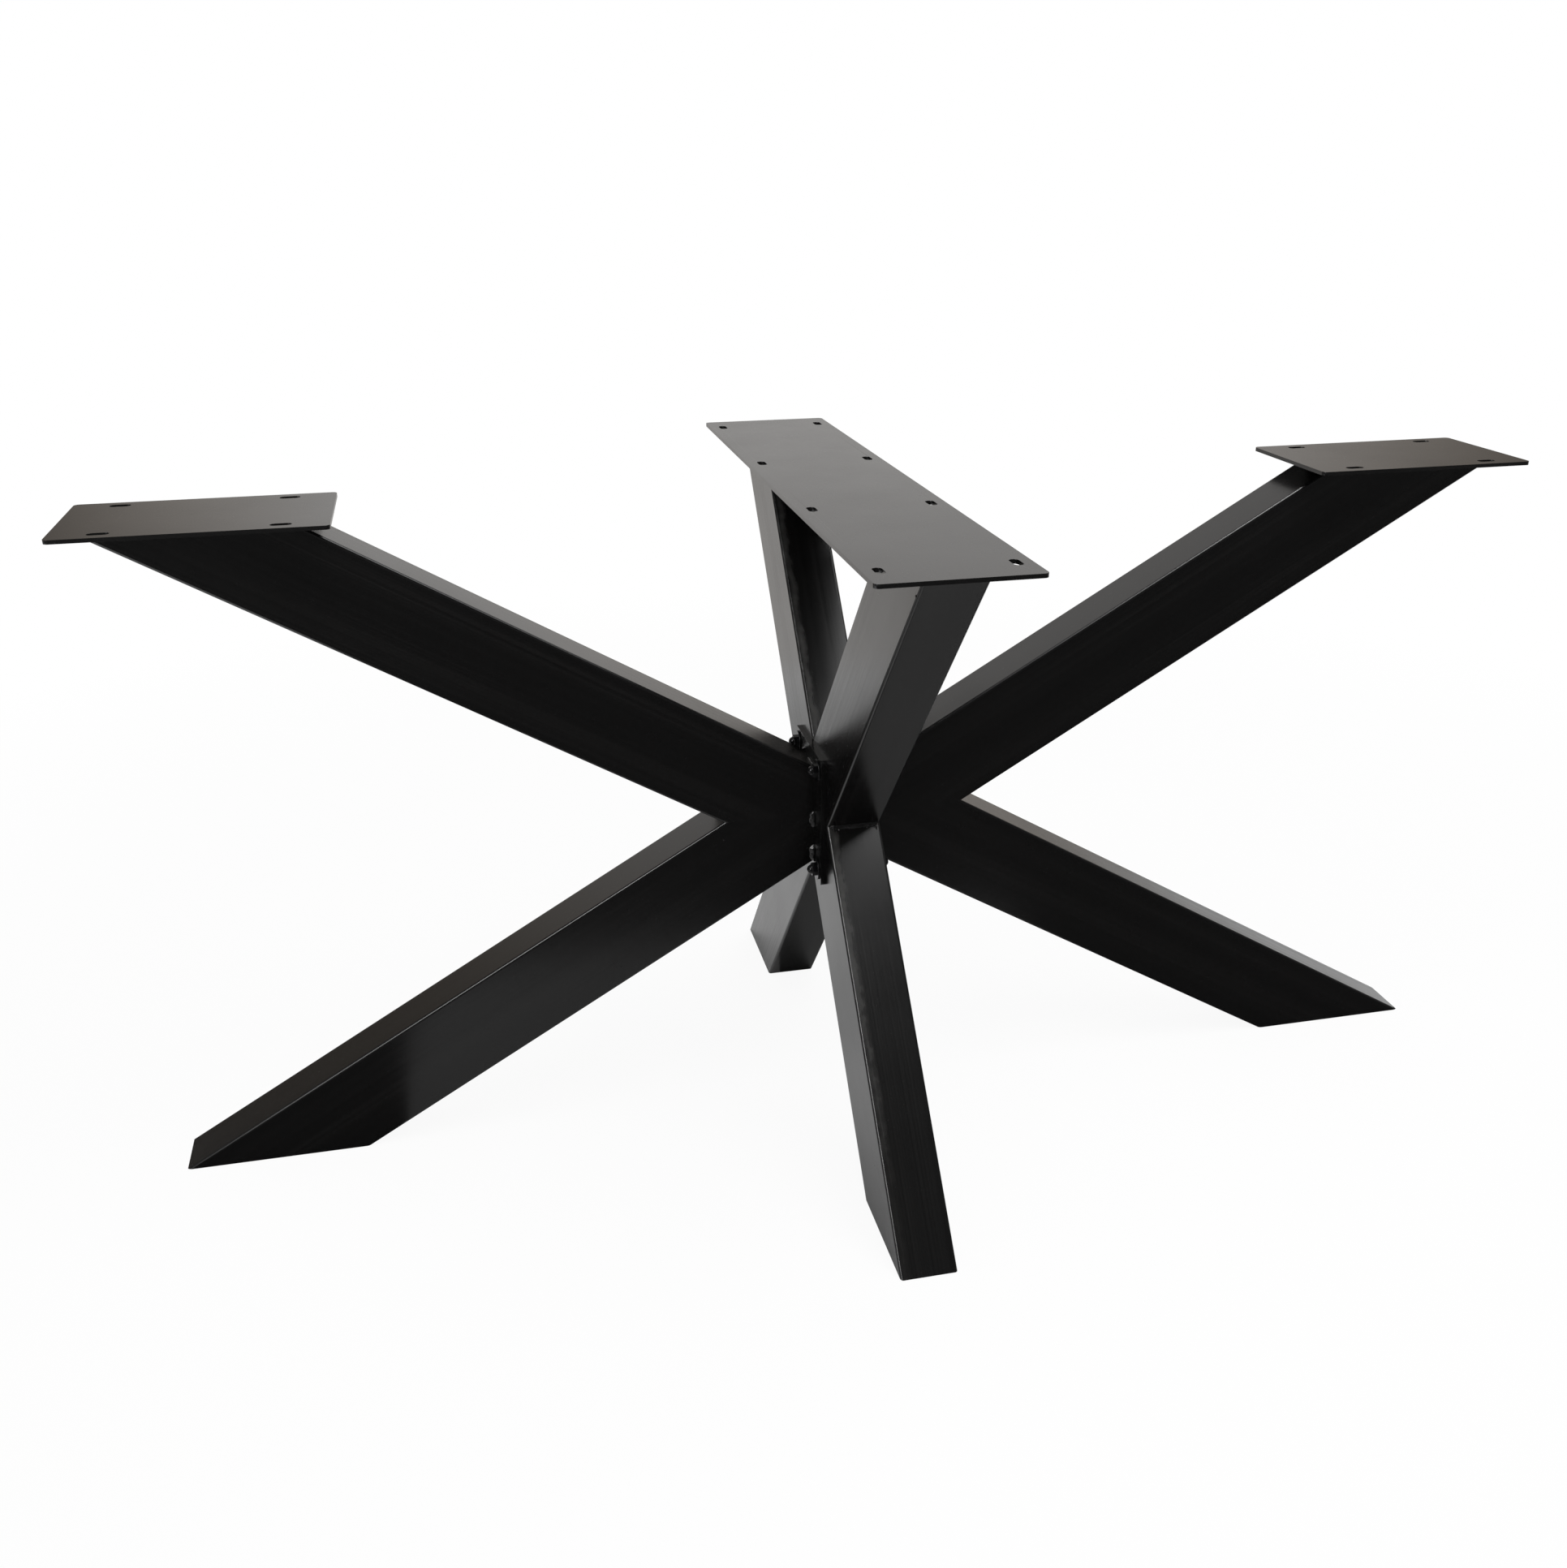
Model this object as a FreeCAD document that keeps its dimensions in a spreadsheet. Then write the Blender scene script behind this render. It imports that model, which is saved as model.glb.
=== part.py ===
import FreeCAD, Part
import math
import os
import Sketcher

# A table base of three welded tube frames, painted black. The centre frame is an X seen from the end,
# and a frame with two legs is bolted to each of its sides, so the base stands on four feet.
# The origin is on the floor in the middle, X is the long direction, -Y the front and +Z up.

doc = FreeCAD.newDocument("table_base")
sheet = doc.addObject("Spreadsheet::Sheet", "sizes")
Vector = FreeCAD.Vector
Rotation = FreeCAD.Rotation
Placement = FreeCAD.Placement


# Driving dimensions, in millimetres and degrees
DRIVING = {
    # the whole base
    "overall_height": "720",
    "overall_length": "1520",
    # rectangular tube, the same for every leg
    "tube_depth": "100",
    "tube_width": "60",
    "tube_wall": "2",
    "tube_corner_radius": "3",
    # inner corner of the V of each side frame, from the middle of the base
    "crotch_distance": "136.6",
    # top plates
    "plate_thickness": "4",
    "plate_width": "150",
    "plate_corner_radius": "5",
    "centre_plate_length": "780",
    "side_plate_length": "250",
    "plate_overhang": "12",
    # slots in the top plates
    "slot_length": "20",
    "slot_width": "9",
    "slot_side_margin": "15",
    "centre_slot_end_margin": "40",
    "centre_slot_rows": "4",
    "side_slot_end_margin": "45",
    # flange plates between the frames
    "flange_thickness": "5",
    "flange_end_margin": "18",
    "flange_corner_radius": "5",
    # tie rods, cap nuts and washers
    "rod_diameter": "8",
    "rod_tube_distance": "15",
    "rod_edge_margin": "15",
    "rod_hole_clearance": "1",
    "washer_diameter": "24",
    "washer_thickness": "2",
    "washer_bore_clearance": "0.4",
    "nut_across_flats": "13",
    "nut_hex_height": "5",
    "nut_total_height": "10",
    "nut_dome_diameter": "10.5",
    "nut_thread_depth": "7",
    "rod_end_gap": "1",
    # plates that close the feet
    "foot_plate_thickness": "3",
    # weld beads
    "notch_weld_size": "5",
    "stitch_weld_size": "3",
    "stitch_weld_length": "20",
    "stitch_weld_spacing": "41",
    "stitch_weld_drop": "25.5",
    "plate_weld_size": "4",
}

# Lengths and places that follow from the driving dimensions
DERIVED = {
    "frame_height": "=overall_height - plate_thickness",
    "half_height": "=frame_height / 2",
    "cavity_depth": "=tube_depth - 2 * tube_wall",
    "cavity_width": "=tube_width - 2 * tube_wall",
    "cavity_corner_radius": "=tube_corner_radius - tube_wall",
    "tube_face_flat": "=tube_width - 2 * tube_corner_radius",
    "flange_face": "=tube_width / 2 + flange_thickness",
    "side_tube_reach": "=overall_length / 2 - plate_overhang",
    "side_leg_angle": "=atan(half_height / (side_tube_reach - crotch_distance)) / 1 deg",
    "side_axis_start": "=crotch_distance - tube_depth / 2 / sin(side_leg_angle)",
    "side_axis_length": "=half_height / sin(side_leg_angle)",
    "side_flange_cut": "=(flange_face - side_axis_start) / cos(side_leg_angle)",
    "tube_end_height": "=2 * (tube_depth / cos(side_leg_angle)"
                       " - (crotch_distance - flange_face) * tan(side_leg_angle))",
    "flange_height": "=tube_end_height + 2 * flange_end_margin",
    "centre_tube_reach": "=centre_plate_length / 2 - plate_overhang",
    "centre_leg_angle": "=(atan(half_height / centre_tube_reach)"
                        " + asin(tube_depth / 2 / sqrt(half_height ^ 2 + centre_tube_reach ^ 2))) / 1 deg",
    "centre_axis_length": "=half_height / sin(centre_leg_angle)",
    "butt_cut": "=tube_depth / 2 / sin(2 * centre_leg_angle)",
    "stock_margin": "=tube_depth",
    "saw_reach": "=4 * tube_depth",
    "slot_span": "=plate_width - 2 * slot_side_margin",
    "centre_slot_span": "=centre_plate_length - 2 * centre_slot_end_margin",
    "side_slot_span": "=side_plate_length - 2 * side_slot_end_margin",
    "rod_spacing_across": "=tube_width + 2 * rod_tube_distance",
    "rod_spacing_up": "=flange_height - 2 * rod_edge_margin",
    "flange_width": "=rod_spacing_across + 2 * rod_edge_margin",
    "rod_hole_diameter": "=rod_diameter + rod_hole_clearance",
    "washer_bore": "=rod_diameter + washer_bore_clearance",
    "nut_seat": "=flange_face + washer_thickness",
    "rod_length": "=2 * (nut_seat + nut_thread_depth - rod_end_gap)",
    "nut_dome_height": "=nut_total_height - nut_hex_height",
    "notch_distance": "=tube_depth / 2 / sin(centre_leg_angle)",
    "vee_distance": "=tube_depth / 2 / cos(centre_leg_angle)",
    "side_plate_weld_run": "=(tube_depth - 2 * tube_corner_radius) / sin(side_leg_angle)",
    "centre_plate_weld_run": "=(tube_depth - 2 * tube_corner_radius) / sin(centre_leg_angle)",
}

for row, (alias, content) in enumerate({**DRIVING, **DERIVED}.items(), start=1):
    sheet.set("A%d" % row, alias)
    sheet.setAlias("B%d" % row, alias)
    sheet.set("B%d" % row, content)
doc.recompute()


def size(alias):
    """The value of a sheet cell, for the places that are worked out here."""
    return float(sheet.get(alias))


def bind(target, path, expression):
    """Ties a property to sheet cells; each alias in the expression is written after an @ sign."""
    target.setExpression(path, expression.replace("@", "sizes."))


def worked_out(expression):
    """The value of such an expression now, so that a sketch is drawn at its real size."""
    return float(doc.sizes.evalExpression(expression.replace("@", "sizes.")))


# Sketches

def origin_plane(body, role):
    """The body's own XY, XZ or YZ plane."""
    return [plane for plane in body.Origin.OriginFeatures if plane.Role == role][0]


def add_sketch(body, name, role="XY_Plane"):
    """An empty sketch on one of the body's own planes."""
    sketch = body.newObject("Sketcher::SketchObject", name)
    sketch.AttachmentSupport = [(origin_plane(body, role), "")]
    sketch.MapMode = "FlatFace"
    return sketch


def add_dimension(sketch, name, kind, references, expression):
    """A named dimension of a sketch, tied to the sheet."""
    value = worked_out(expression)
    index = sketch.addConstraint(Sketcher.Constraint(kind, *references, value))
    sketch.renameConstraint(index, name)
    bind(sketch, "Constraints." + name, expression)


def constrain(sketch, kind, *references):
    """A constraint without a size."""
    sketch.addConstraint(Sketcher.Constraint(kind, *references))


def draw_closed_lines(sketch, points):
    """Lines from point to point and back to the first."""
    count = len(points)
    lines = []
    for turn in range(count):
        line = Part.LineSegment(points[turn], points[(turn + 1) % count])
        lines.append(sketch.addGeometry(line, False))
    for turn in range(count):
        constrain(sketch, "Coincident", lines[turn], 2, lines[(turn + 1) % count], 1)
    return lines


def draw_arc(sketch, centre, radius, start, end):
    """A round stretch about a centre, from one angle to another."""
    circle = Part.Circle(centre, Vector(0, 0, 1), radius)
    return sketch.addGeometry(Part.ArcOfCircle(circle, start, end), False)


def draw_rounded_rectangle(sketch, prefix, width, height, radius):
    """A rectangle with round corners about the sketch origin; its sizes are sheet expressions."""
    corner = worked_out(radius)
    reach = worked_out(width) / 2 - corner
    rise = worked_out(height) / 2 - corner
    quarter = math.pi / 2
    arcs = []
    for turn, (side, level) in enumerate([(1, 1), (-1, 1), (-1, -1), (1, -1)]):
        arcs.append(draw_arc(sketch, Vector(side * reach, level * rise, 0), corner,
                             turn * quarter, (turn + 1) * quarter))
    lines = []
    for turn in range(4):
        ends = sketch.getPoint(arcs[turn], 2), sketch.getPoint(arcs[(turn + 1) % 4], 1)
        lines.append(sketch.addGeometry(Part.LineSegment(*ends), False))
    for turn in range(4):
        constrain(sketch, "Tangent", arcs[turn], 2, lines[turn], 1)
        constrain(sketch, "Tangent", lines[turn], 2, arcs[(turn + 1) % 4], 1)
        constrain(sketch, "Horizontal" if turn % 2 == 0 else "Vertical", lines[turn])
    for arc in arcs[1:]:
        constrain(sketch, "Equal", arcs[0], arc)
    constrain(sketch, "Symmetric", arcs[0], 3, arcs[2], 3, -1, 1)
    add_dimension(sketch, prefix + "_width", "DistanceX", (lines[1], 1, lines[3], 1), width)
    add_dimension(sketch, prefix + "_height", "DistanceY", (lines[2], 1, lines[0], 1), height)
    add_dimension(sketch, prefix + "_radius", "Radius", (arcs[0],), radius)


def draw_rectangle(sketch, prefix, left, right, bottom, top):
    """A plain rectangle with its edges at four sheet expressions."""
    low = Vector(worked_out(left), worked_out(bottom), 0)
    high = Vector(worked_out(right), worked_out(top), 0)
    lines = draw_closed_lines(sketch, [low, Vector(high.x, low.y, 0), high, Vector(low.x, high.y, 0)])
    for turn in range(4):
        constrain(sketch, "Horizontal" if turn % 2 == 0 else "Vertical", lines[turn])
    add_dimension(sketch, prefix + "_left", "DistanceX", (-1, 1, lines[0], 1), left)
    add_dimension(sketch, prefix + "_bottom", "DistanceY", (-1, 1, lines[0], 1), bottom)
    add_dimension(sketch, prefix + "_right", "DistanceX", (-1, 1, lines[2], 1), right)
    add_dimension(sketch, prefix + "_top", "DistanceY", (-1, 1, lines[2], 1), top)


def draw_circle(sketch, name, diameter, across="0", up="0"):
    """A circle with its centre at two sheet expressions."""
    middle = Vector(worked_out(across), worked_out(up), 0)
    circle = sketch.addGeometry(Part.Circle(middle, Vector(0, 0, 1), worked_out(diameter) / 2), False)
    if (across, up) == ("0", "0"):
        constrain(sketch, "Coincident", circle, 3, -1, 1)
    else:
        add_dimension(sketch, name + "_across", "DistanceX", (-1, 1, circle, 3), across)
        add_dimension(sketch, name + "_up", "DistanceY", (-1, 1, circle, 3), up)
    add_dimension(sketch, name + "_diameter", "Diameter", (circle,), diameter)


def draw_slot(sketch, length, width, across, up):
    """A slot with round ends that runs along the sketch's X axis, with its middle at across and up."""
    radius = worked_out(width) / 2
    reach = worked_out(length) / 2 - radius
    middle = Vector(worked_out(across), worked_out(up), 0)
    quarter = math.pi / 2
    left = draw_arc(sketch, middle - Vector(reach, 0, 0), radius, quarter, 3 * quarter)
    right = draw_arc(sketch, middle + Vector(reach, 0, 0), radius, -quarter, quarter)
    lower = sketch.addGeometry(Part.LineSegment(sketch.getPoint(left, 2), sketch.getPoint(right, 1)), False)
    upper = sketch.addGeometry(Part.LineSegment(sketch.getPoint(right, 2), sketch.getPoint(left, 1)), False)
    for first, second in ((left, lower), (lower, right), (right, upper), (upper, left)):
        constrain(sketch, "Tangent", first, 2, second, 1)
    constrain(sketch, "Equal", left, right)
    constrain(sketch, "Horizontal", lower)
    add_dimension(sketch, "slot_radius", "Radius", (left,), "%s / 2" % width)
    add_dimension(sketch, "slot_reach", "DistanceX", (left, 3, right, 3), "%s - %s" % (length, width))
    add_dimension(sketch, "slot_across", "DistanceX", (-1, 1, left, 3),
                  "%s - (%s - %s) / 2" % (across, length, width))
    add_dimension(sketch, "slot_up", "DistanceY", (-1, 1, left, 3), up)


# Features

def add_pad(body, sketch, name, length, both_ways=False):
    """Raises a sketch by a sheet expression."""
    pad = body.newObject("PartDesign::Pad", name)
    pad.Profile = sketch
    bind(pad, "Length", length)
    pad.Midplane = both_ways
    sketch.Visibility = False
    return pad


def add_through_cut(body, sketch, name):
    """Cuts a sketch through the whole piece, to both sides of the sketch."""
    pocket = body.newObject("PartDesign::Pocket", name)
    pocket.Profile = sketch
    pocket.Type = "ThroughAll"
    pocket.Midplane = True
    sketch.Visibility = False
    return pocket


def repeat_cut(body, cut, sketch, name, steps):
    """Repeats a cut in rows; each step is an axis of the sketch, a whole span and a number of places."""
    pattern = body.newObject("PartDesign::MultiTransform", name)
    pattern.Originals = [cut]
    rows = []
    for axis, span, count in steps:
        row = doc.addObject("PartDesign::LinearPattern", name + "_" + axis)
        body.addObject(row)
        row.Direction = (sketch, [axis])
        bind(row, "Length", span)
        bind(row, "Occurrences", count)
        rows.append(row)
    pattern.Transformations = rows
    body.Tip = pattern
    return pattern


def saw_end(body, name, place, angle):
    """Saws off what lies beyond a line across the tube; the line crosses the tube's axis at place."""
    sketch = add_sketch(body, name + "_line")
    sketch.AttachmentOffset = Placement(Vector(0, 0, 0), Rotation(Vector(0, 0, 1), 0))
    bind(sketch, "AttachmentOffset.Base.x", place)
    bind(sketch, "AttachmentOffset.Rotation.Angle", angle)
    draw_rectangle(sketch, "waste", "0", "@saw_reach", "-@saw_reach", "@saw_reach")
    return add_through_cut(body, sketch, name)


# Tubes

def add_tube(name, start, end, saw_cuts, holes, hollow=True):
    """A length of tube along its own X axis with its depth along Y, sawn to its ends and drilled.

    start and end are where the uncut stock begins and ends, saw_cuts are (name, place, angle) and
    holes are (name, across, up). A bar that isn't hollow fills the tube's inside.
    """
    body = doc.addObject("PartDesign::Body", name)
    section = add_sketch(body, name + "_section", "YZ_Plane")
    bind(section, "AttachmentOffset.Base.z", start)
    if hollow:
        draw_rounded_rectangle(section, "outer", "@tube_depth", "@tube_width", "@tube_corner_radius")
    draw_rounded_rectangle(section, "inner", "@cavity_depth", "@cavity_width", "@cavity_corner_radius")
    add_pad(body, section, name + "_stock", "%s - (%s)" % (end, start))
    for cut_name, place, angle in saw_cuts:
        saw_end(body, name + "_" + cut_name, place, angle)
    if holes:
        drilling = add_sketch(body, name + "_drilling")
        for hole_name, across, up in holes:
            draw_circle(drilling, hole_name, "@rod_hole_diameter", across, up)
        add_through_cut(body, drilling, name + "_rod_holes")
    return body


def in_centre_frame(end, angle):
    """Places a centre tube: local X runs at an angle up from +Y, or from -Y where end is -1."""
    stand_up = Rotation(Vector(0, 1, 0), Vector(0, 0, 1), Vector(1, 0, 0), "XYZ")
    turn_about = Rotation(Vector(0, 0, 1), 0 if end > 0 else 180)
    return Placement(Vector(0, 0, size("half_height")),
                     turn_about * stand_up * Rotation(Vector(0, 0, 1), angle))


def in_side_frame(side, angle):
    """Places a side tube: side is +1 for the right frame and -1 for the left one."""
    stand_up = Rotation(Vector(1, 0, 0), Vector(0, 0, 1), Vector(0, -1, 0), "XYZ")
    turn_about = Rotation(Vector(0, 0, 1), 0 if side > 0 else 180)
    base = turn_about.multVec(Vector(size("side_axis_start"), 0, size("half_height")))
    return Placement(base, turn_about * stand_up * Rotation(Vector(0, 0, 1), angle))


# Where a rod crosses a centre tube, along the tube and across it
ROD_ALONG = "(@rod_spacing_across / 2 * cos(@centre_leg_angle) + @rod_spacing_up / 2 * sin(@centre_leg_angle))"
ROD_ASIDE = "(@rod_spacing_up / 2 * cos(@centre_leg_angle) - @rod_spacing_across / 2 * sin(@centre_leg_angle))"


def make_centre_tubes():
    """The X: one long tube from the front foot to the back of the top, and two halves butted on it."""
    far = "@centre_axis_length + @stock_margin"
    long_tube = add_tube(
        "centre_long_tube", "-(%s)" % far, far,
        [("top_cut", "@centre_axis_length", "-@centre_leg_angle + 90"),
         ("floor_cut", "-@centre_axis_length", "-@centre_leg_angle + 270")],
        [("upper_rod", ROD_ALONG, ROD_ASIDE), ("lower_rod", "-" + ROD_ALONG, "-" + ROD_ASIDE)])
    long_tube.Placement = in_centre_frame(1, size("centre_leg_angle"))

    halves = []
    for name, end, level in (("centre_upper_half_tube", -1, 1), ("centre_lower_half_tube", 1, -1)):
        sign = "" if level > 0 else "-"
        half = add_tube(
            name, "0", far,
            [("end_cut", "@centre_axis_length", "%s(90 - @centre_leg_angle)" % sign),
             ("butt_cut", "@butt_cut", "%s(-90 - 2 * @centre_leg_angle)" % sign)],
            [("rod", ROD_ALONG, "%s(%s)" % (sign, ROD_ASIDE))])
        half.Placement = in_centre_frame(end, level * size("centre_leg_angle"))
        halves.append(half)
    return [long_tube] + halves


def make_side_tubes(side_name, side):
    """A side frame's two tubes, mitred to each other at half height and cut square to the flange."""
    far = "@side_axis_length + @stock_margin"
    near = "-@saw_reach / 2"
    tubes = []
    for level_name, level in (("upper", 1), ("lower", -1)):
        sign = "" if level > 0 else "-"
        tube = add_tube(
            "%s_%s_tube" % (side_name, level_name), near, far,
            [("end_cut", "@side_axis_length", "%s(90 - @side_leg_angle)" % sign),
             ("mitre_cut", "0", "%s(-90 - @side_leg_angle)" % sign),
             ("flange_cut", "@side_flange_cut", "%s(180 - @side_leg_angle)" % sign)],
            [])
        tube.Placement = in_side_frame(side, level * size("side_leg_angle"))
        tubes.append(tube)
    return tubes


# Foot plates

def make_foot_plate(name, angle_alias):
    """A flat plate let into the sawn end of a leg, flush with the floor."""
    lower_cut = "@half_height / sin(@%s)" % angle_alias
    upper_cut = "(@half_height - @foot_plate_thickness) / sin(@%s)" % angle_alias
    plate = add_tube(
        name, "(%s) - @stock_margin" % upper_cut, "(%s) + @stock_margin" % lower_cut,
        [("underside", lower_cut, "@%s - 90" % angle_alias),
         ("inner_face", upper_cut, "@%s + 90" % angle_alias)],
        [], hollow=False)
    return plate


def make_foot_plates():
    """One plate in each of the four feet."""
    plates = []
    for name, end in (("front_foot_plate", -1), ("back_foot_plate", 1)):
        plate = make_foot_plate(name, "centre_leg_angle")
        plate.Placement = in_centre_frame(end, -size("centre_leg_angle"))
        plates.append(plate)
    for name, side in (("left_foot_plate", -1), ("right_foot_plate", 1)):
        plate = make_foot_plate(name, "side_leg_angle")
        plate.Placement = in_side_frame(side, -size("side_leg_angle"))
        plates.append(plate)
    return plates


# Plates

def make_top_plate(name, length, end_margin, span, rows):
    """A slotted plate with its length along its own X and its slots along both long edges."""
    body = doc.addObject("PartDesign::Body", name)
    outline = add_sketch(body, name + "_outline")
    draw_rounded_rectangle(outline, "plate", length, "@plate_width", "@plate_corner_radius")
    add_pad(body, outline, name + "_sheet", "@plate_thickness")
    slot = add_sketch(body, name + "_slot")
    draw_slot(slot, "@slot_length", "@slot_width", "-(%s / 2 - %s)" % (length, end_margin),
              "-(@plate_width / 2 - @slot_side_margin)")
    cut = add_through_cut(body, slot, name + "_first_slot")
    repeat_cut(body, cut, slot, name + "_slots", [("H_Axis", span, rows), ("V_Axis", "@slot_span", "2")])
    return body


def make_top_plates():
    """The long centre plate and the two short plates, all with their tops at the full height."""
    top = size("frame_height")
    centre = make_top_plate("centre_top_plate", "@centre_plate_length", "@centre_slot_end_margin",
                            "@centre_slot_span", "@centre_slot_rows")
    centre.Placement = Placement(Vector(0, 0, top), Rotation(Vector(0, 0, 1), 90))
    plates = [centre]
    for side_name, side in (("left", -1), ("right", 1)):
        plate = make_top_plate(side_name + "_top_plate", "@side_plate_length", "@side_slot_end_margin",
                               "@side_slot_span", "2")
        middle = side * (size("overall_length") - size("side_plate_length")) / 2
        plate.Placement = Placement(Vector(middle, 0, top), Rotation(Vector(0, 0, 1), 0))
        plates.append(plate)
    return plates


def make_flange_plate(side_name, side):
    """The drilled plate welded across the inner end of a side frame."""
    name = side_name + "_flange_plate"
    body = doc.addObject("PartDesign::Body", name)
    outline = add_sketch(body, name + "_outline")
    draw_rounded_rectangle(outline, "flange", "@flange_width", "@flange_height", "@flange_corner_radius")
    add_pad(body, outline, name + "_sheet", "@flange_thickness")
    drilling = add_sketch(body, name + "_drilling")
    draw_circle(drilling, "rod", "@rod_hole_diameter", "-@rod_spacing_across / 2", "-@rod_spacing_up / 2")
    cut = add_through_cut(body, drilling, name + "_first_hole")
    repeat_cut(body, cut, drilling, name + "_holes",
               [("H_Axis", "@rod_spacing_across", "2"), ("V_Axis", "@rod_spacing_up", "2")])
    body.Placement = Placement(Vector(side * size("tube_width") / 2, 0, size("half_height")),
                               facing_out(side))
    return body


def facing_out(side):
    """Turns local Z to point out of the centre frame and local Y to point up."""
    return Rotation(Vector(0, side, 0), Vector(0, 0, 1), Vector(side, 0, 0), "XYZ")


# Fasteners

FULL_TURN = 360


def rod_places():
    """The Y and Z places of the four rods."""
    across = size("rod_spacing_across") / 2
    up = size("rod_spacing_up") / 2
    return [(y, size("half_height") + z) for y in (-across, across) for z in (-up, up)]


def make_group(name, pattern_piece, placements):
    """One named group of separate, identical solids."""
    links = []
    for number, placement in enumerate(placements, start=1):
        link = doc.addObject("App::Link", "%s_%d" % (name, number))
        link.LinkedObject = pattern_piece
        link.LinkTransform = False
        link.Placement = placement
        links.append(link)
    group = doc.addObject("Part::Compound", name)
    group.Links = links
    return group


def fastener_placements(side, distance):
    """The places of one side's nuts or washers, at a distance out from the middle."""
    turn = facing_out(side)
    return [Placement(Vector(side * distance, y, z), turn) for y, z in rod_places()]


def make_tie_rods():
    """Four threaded rods that pass through the centre tubes from one flange plate to the other."""
    rod = doc.addObject("Part::Cylinder", "rod_pattern")
    bind(rod, "Radius", "@rod_diameter / 2")
    bind(rod, "Height", "@rod_length")
    start = -size("rod_length") / 2
    turn = facing_out(1)
    placements = [Placement(Vector(start, y, z), turn) for y, z in rod_places()]
    return make_group("tie_rods", rod, placements)


def make_washer_pattern():
    """A large flat washer on its own Z axis."""
    body = doc.addObject("PartDesign::Body", "washer_pattern")
    ring = add_sketch(body, "washer_ring")
    draw_circle(ring, "rim", "@washer_diameter")
    draw_circle(ring, "bore", "@washer_bore")
    add_pad(body, ring, "washer_sheet", "@washer_thickness")
    return body


def draw_hexagon(sketch, across_flats):
    """A hexagon about the sketch origin, sized across its flats, with a corner on the X axis."""
    corner_reach = "%s / 2 / cos(30)" % across_flats
    reach = worked_out(corner_reach)
    sixth = math.radians(FULL_TURN / 6)
    lines = draw_closed_lines(sketch, [Vector(reach * math.cos(sixth * turn), reach * math.sin(sixth * turn), 0)
                                       for turn in range(6)])
    guide = sketch.addGeometry(Part.Circle(Vector(0, 0, 0), Vector(0, 0, 1), reach), True)
    constrain(sketch, "Coincident", guide, 3, -1, 1)
    for line in lines:
        constrain(sketch, "PointOnObject", line, 1, guide)
    for line in lines[1:]:
        constrain(sketch, "Equal", lines[0], line)
    constrain(sketch, "PointOnObject", lines[0], 1, -1)
    add_dimension(sketch, "corner_reach", "Radius", (guide,), corner_reach)


def draw_nut_dome(sketch):
    """Half of the dome's outline beside the nut's axis: its foot, its round side and its axis."""
    radius = worked_out("@nut_dome_diameter / 2")
    base = worked_out("@nut_hex_height")
    height = worked_out("@nut_dome_height")
    start = Vector(0, base, 0)
    foot = Vector(radius, base, 0)
    tip = Vector(0, base + height, 0)
    floor = sketch.addGeometry(Part.LineSegment(start, foot), False)
    middle = Vector(radius * math.cos(math.pi / 4), base + height * math.sin(math.pi / 4), 0)
    arc = sketch.addGeometry(Part.Arc(foot, middle, tip), False)
    axis = sketch.addGeometry(Part.LineSegment(tip, start), False)
    constrain(sketch, "Coincident", floor, 2, arc, 1)
    constrain(sketch, "Coincident", arc, 2, axis, 1)
    constrain(sketch, "Coincident", axis, 2, floor, 1)
    constrain(sketch, "PointOnObject", axis, 1, -2)
    constrain(sketch, "PointOnObject", axis, 2, -2)
    constrain(sketch, "PointOnObject", arc, 3, -2)
    constrain(sketch, "Horizontal", floor)
    add_dimension(sketch, "dome_radius", "DistanceX", (floor, 1, floor, 2), "@nut_dome_diameter / 2")
    add_dimension(sketch, "dome_base", "DistanceY", (-1, 1, floor, 1), "@nut_hex_height")
    add_dimension(sketch, "dome_height", "DistanceY", (axis, 2, axis, 1), "@nut_dome_height")


def draw_corner_waste(sketch):
    """The triangle that turns away the hexagon's outer corners, drawn beside the nut's axis."""
    inner = worked_out("@nut_across_flats / 2")
    width = worked_out("@nut_across_flats / 4")
    drop = worked_out("@nut_across_flats / 4 * tan(30)")
    level = worked_out("@nut_hex_height")
    lines = draw_closed_lines(sketch, [Vector(inner, level, 0), Vector(inner + width, level, 0),
                                       Vector(inner + width, level - drop, 0)])
    constrain(sketch, "Horizontal", lines[0])
    constrain(sketch, "Vertical", lines[1])
    add_dimension(sketch, "waste_height", "DistanceY", (-1, 1, lines[0], 1), "@nut_hex_height")
    add_dimension(sketch, "waste_inner", "DistanceX", (-1, 1, lines[0], 1), "@nut_across_flats / 2")
    add_dimension(sketch, "waste_width", "DistanceX", (lines[0], 1, lines[0], 2), "@nut_across_flats / 4")
    add_dimension(sketch, "waste_drop", "DistanceY", (lines[1], 2, lines[1], 1),
                  "@nut_across_flats / 4 * tan(30)")


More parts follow.
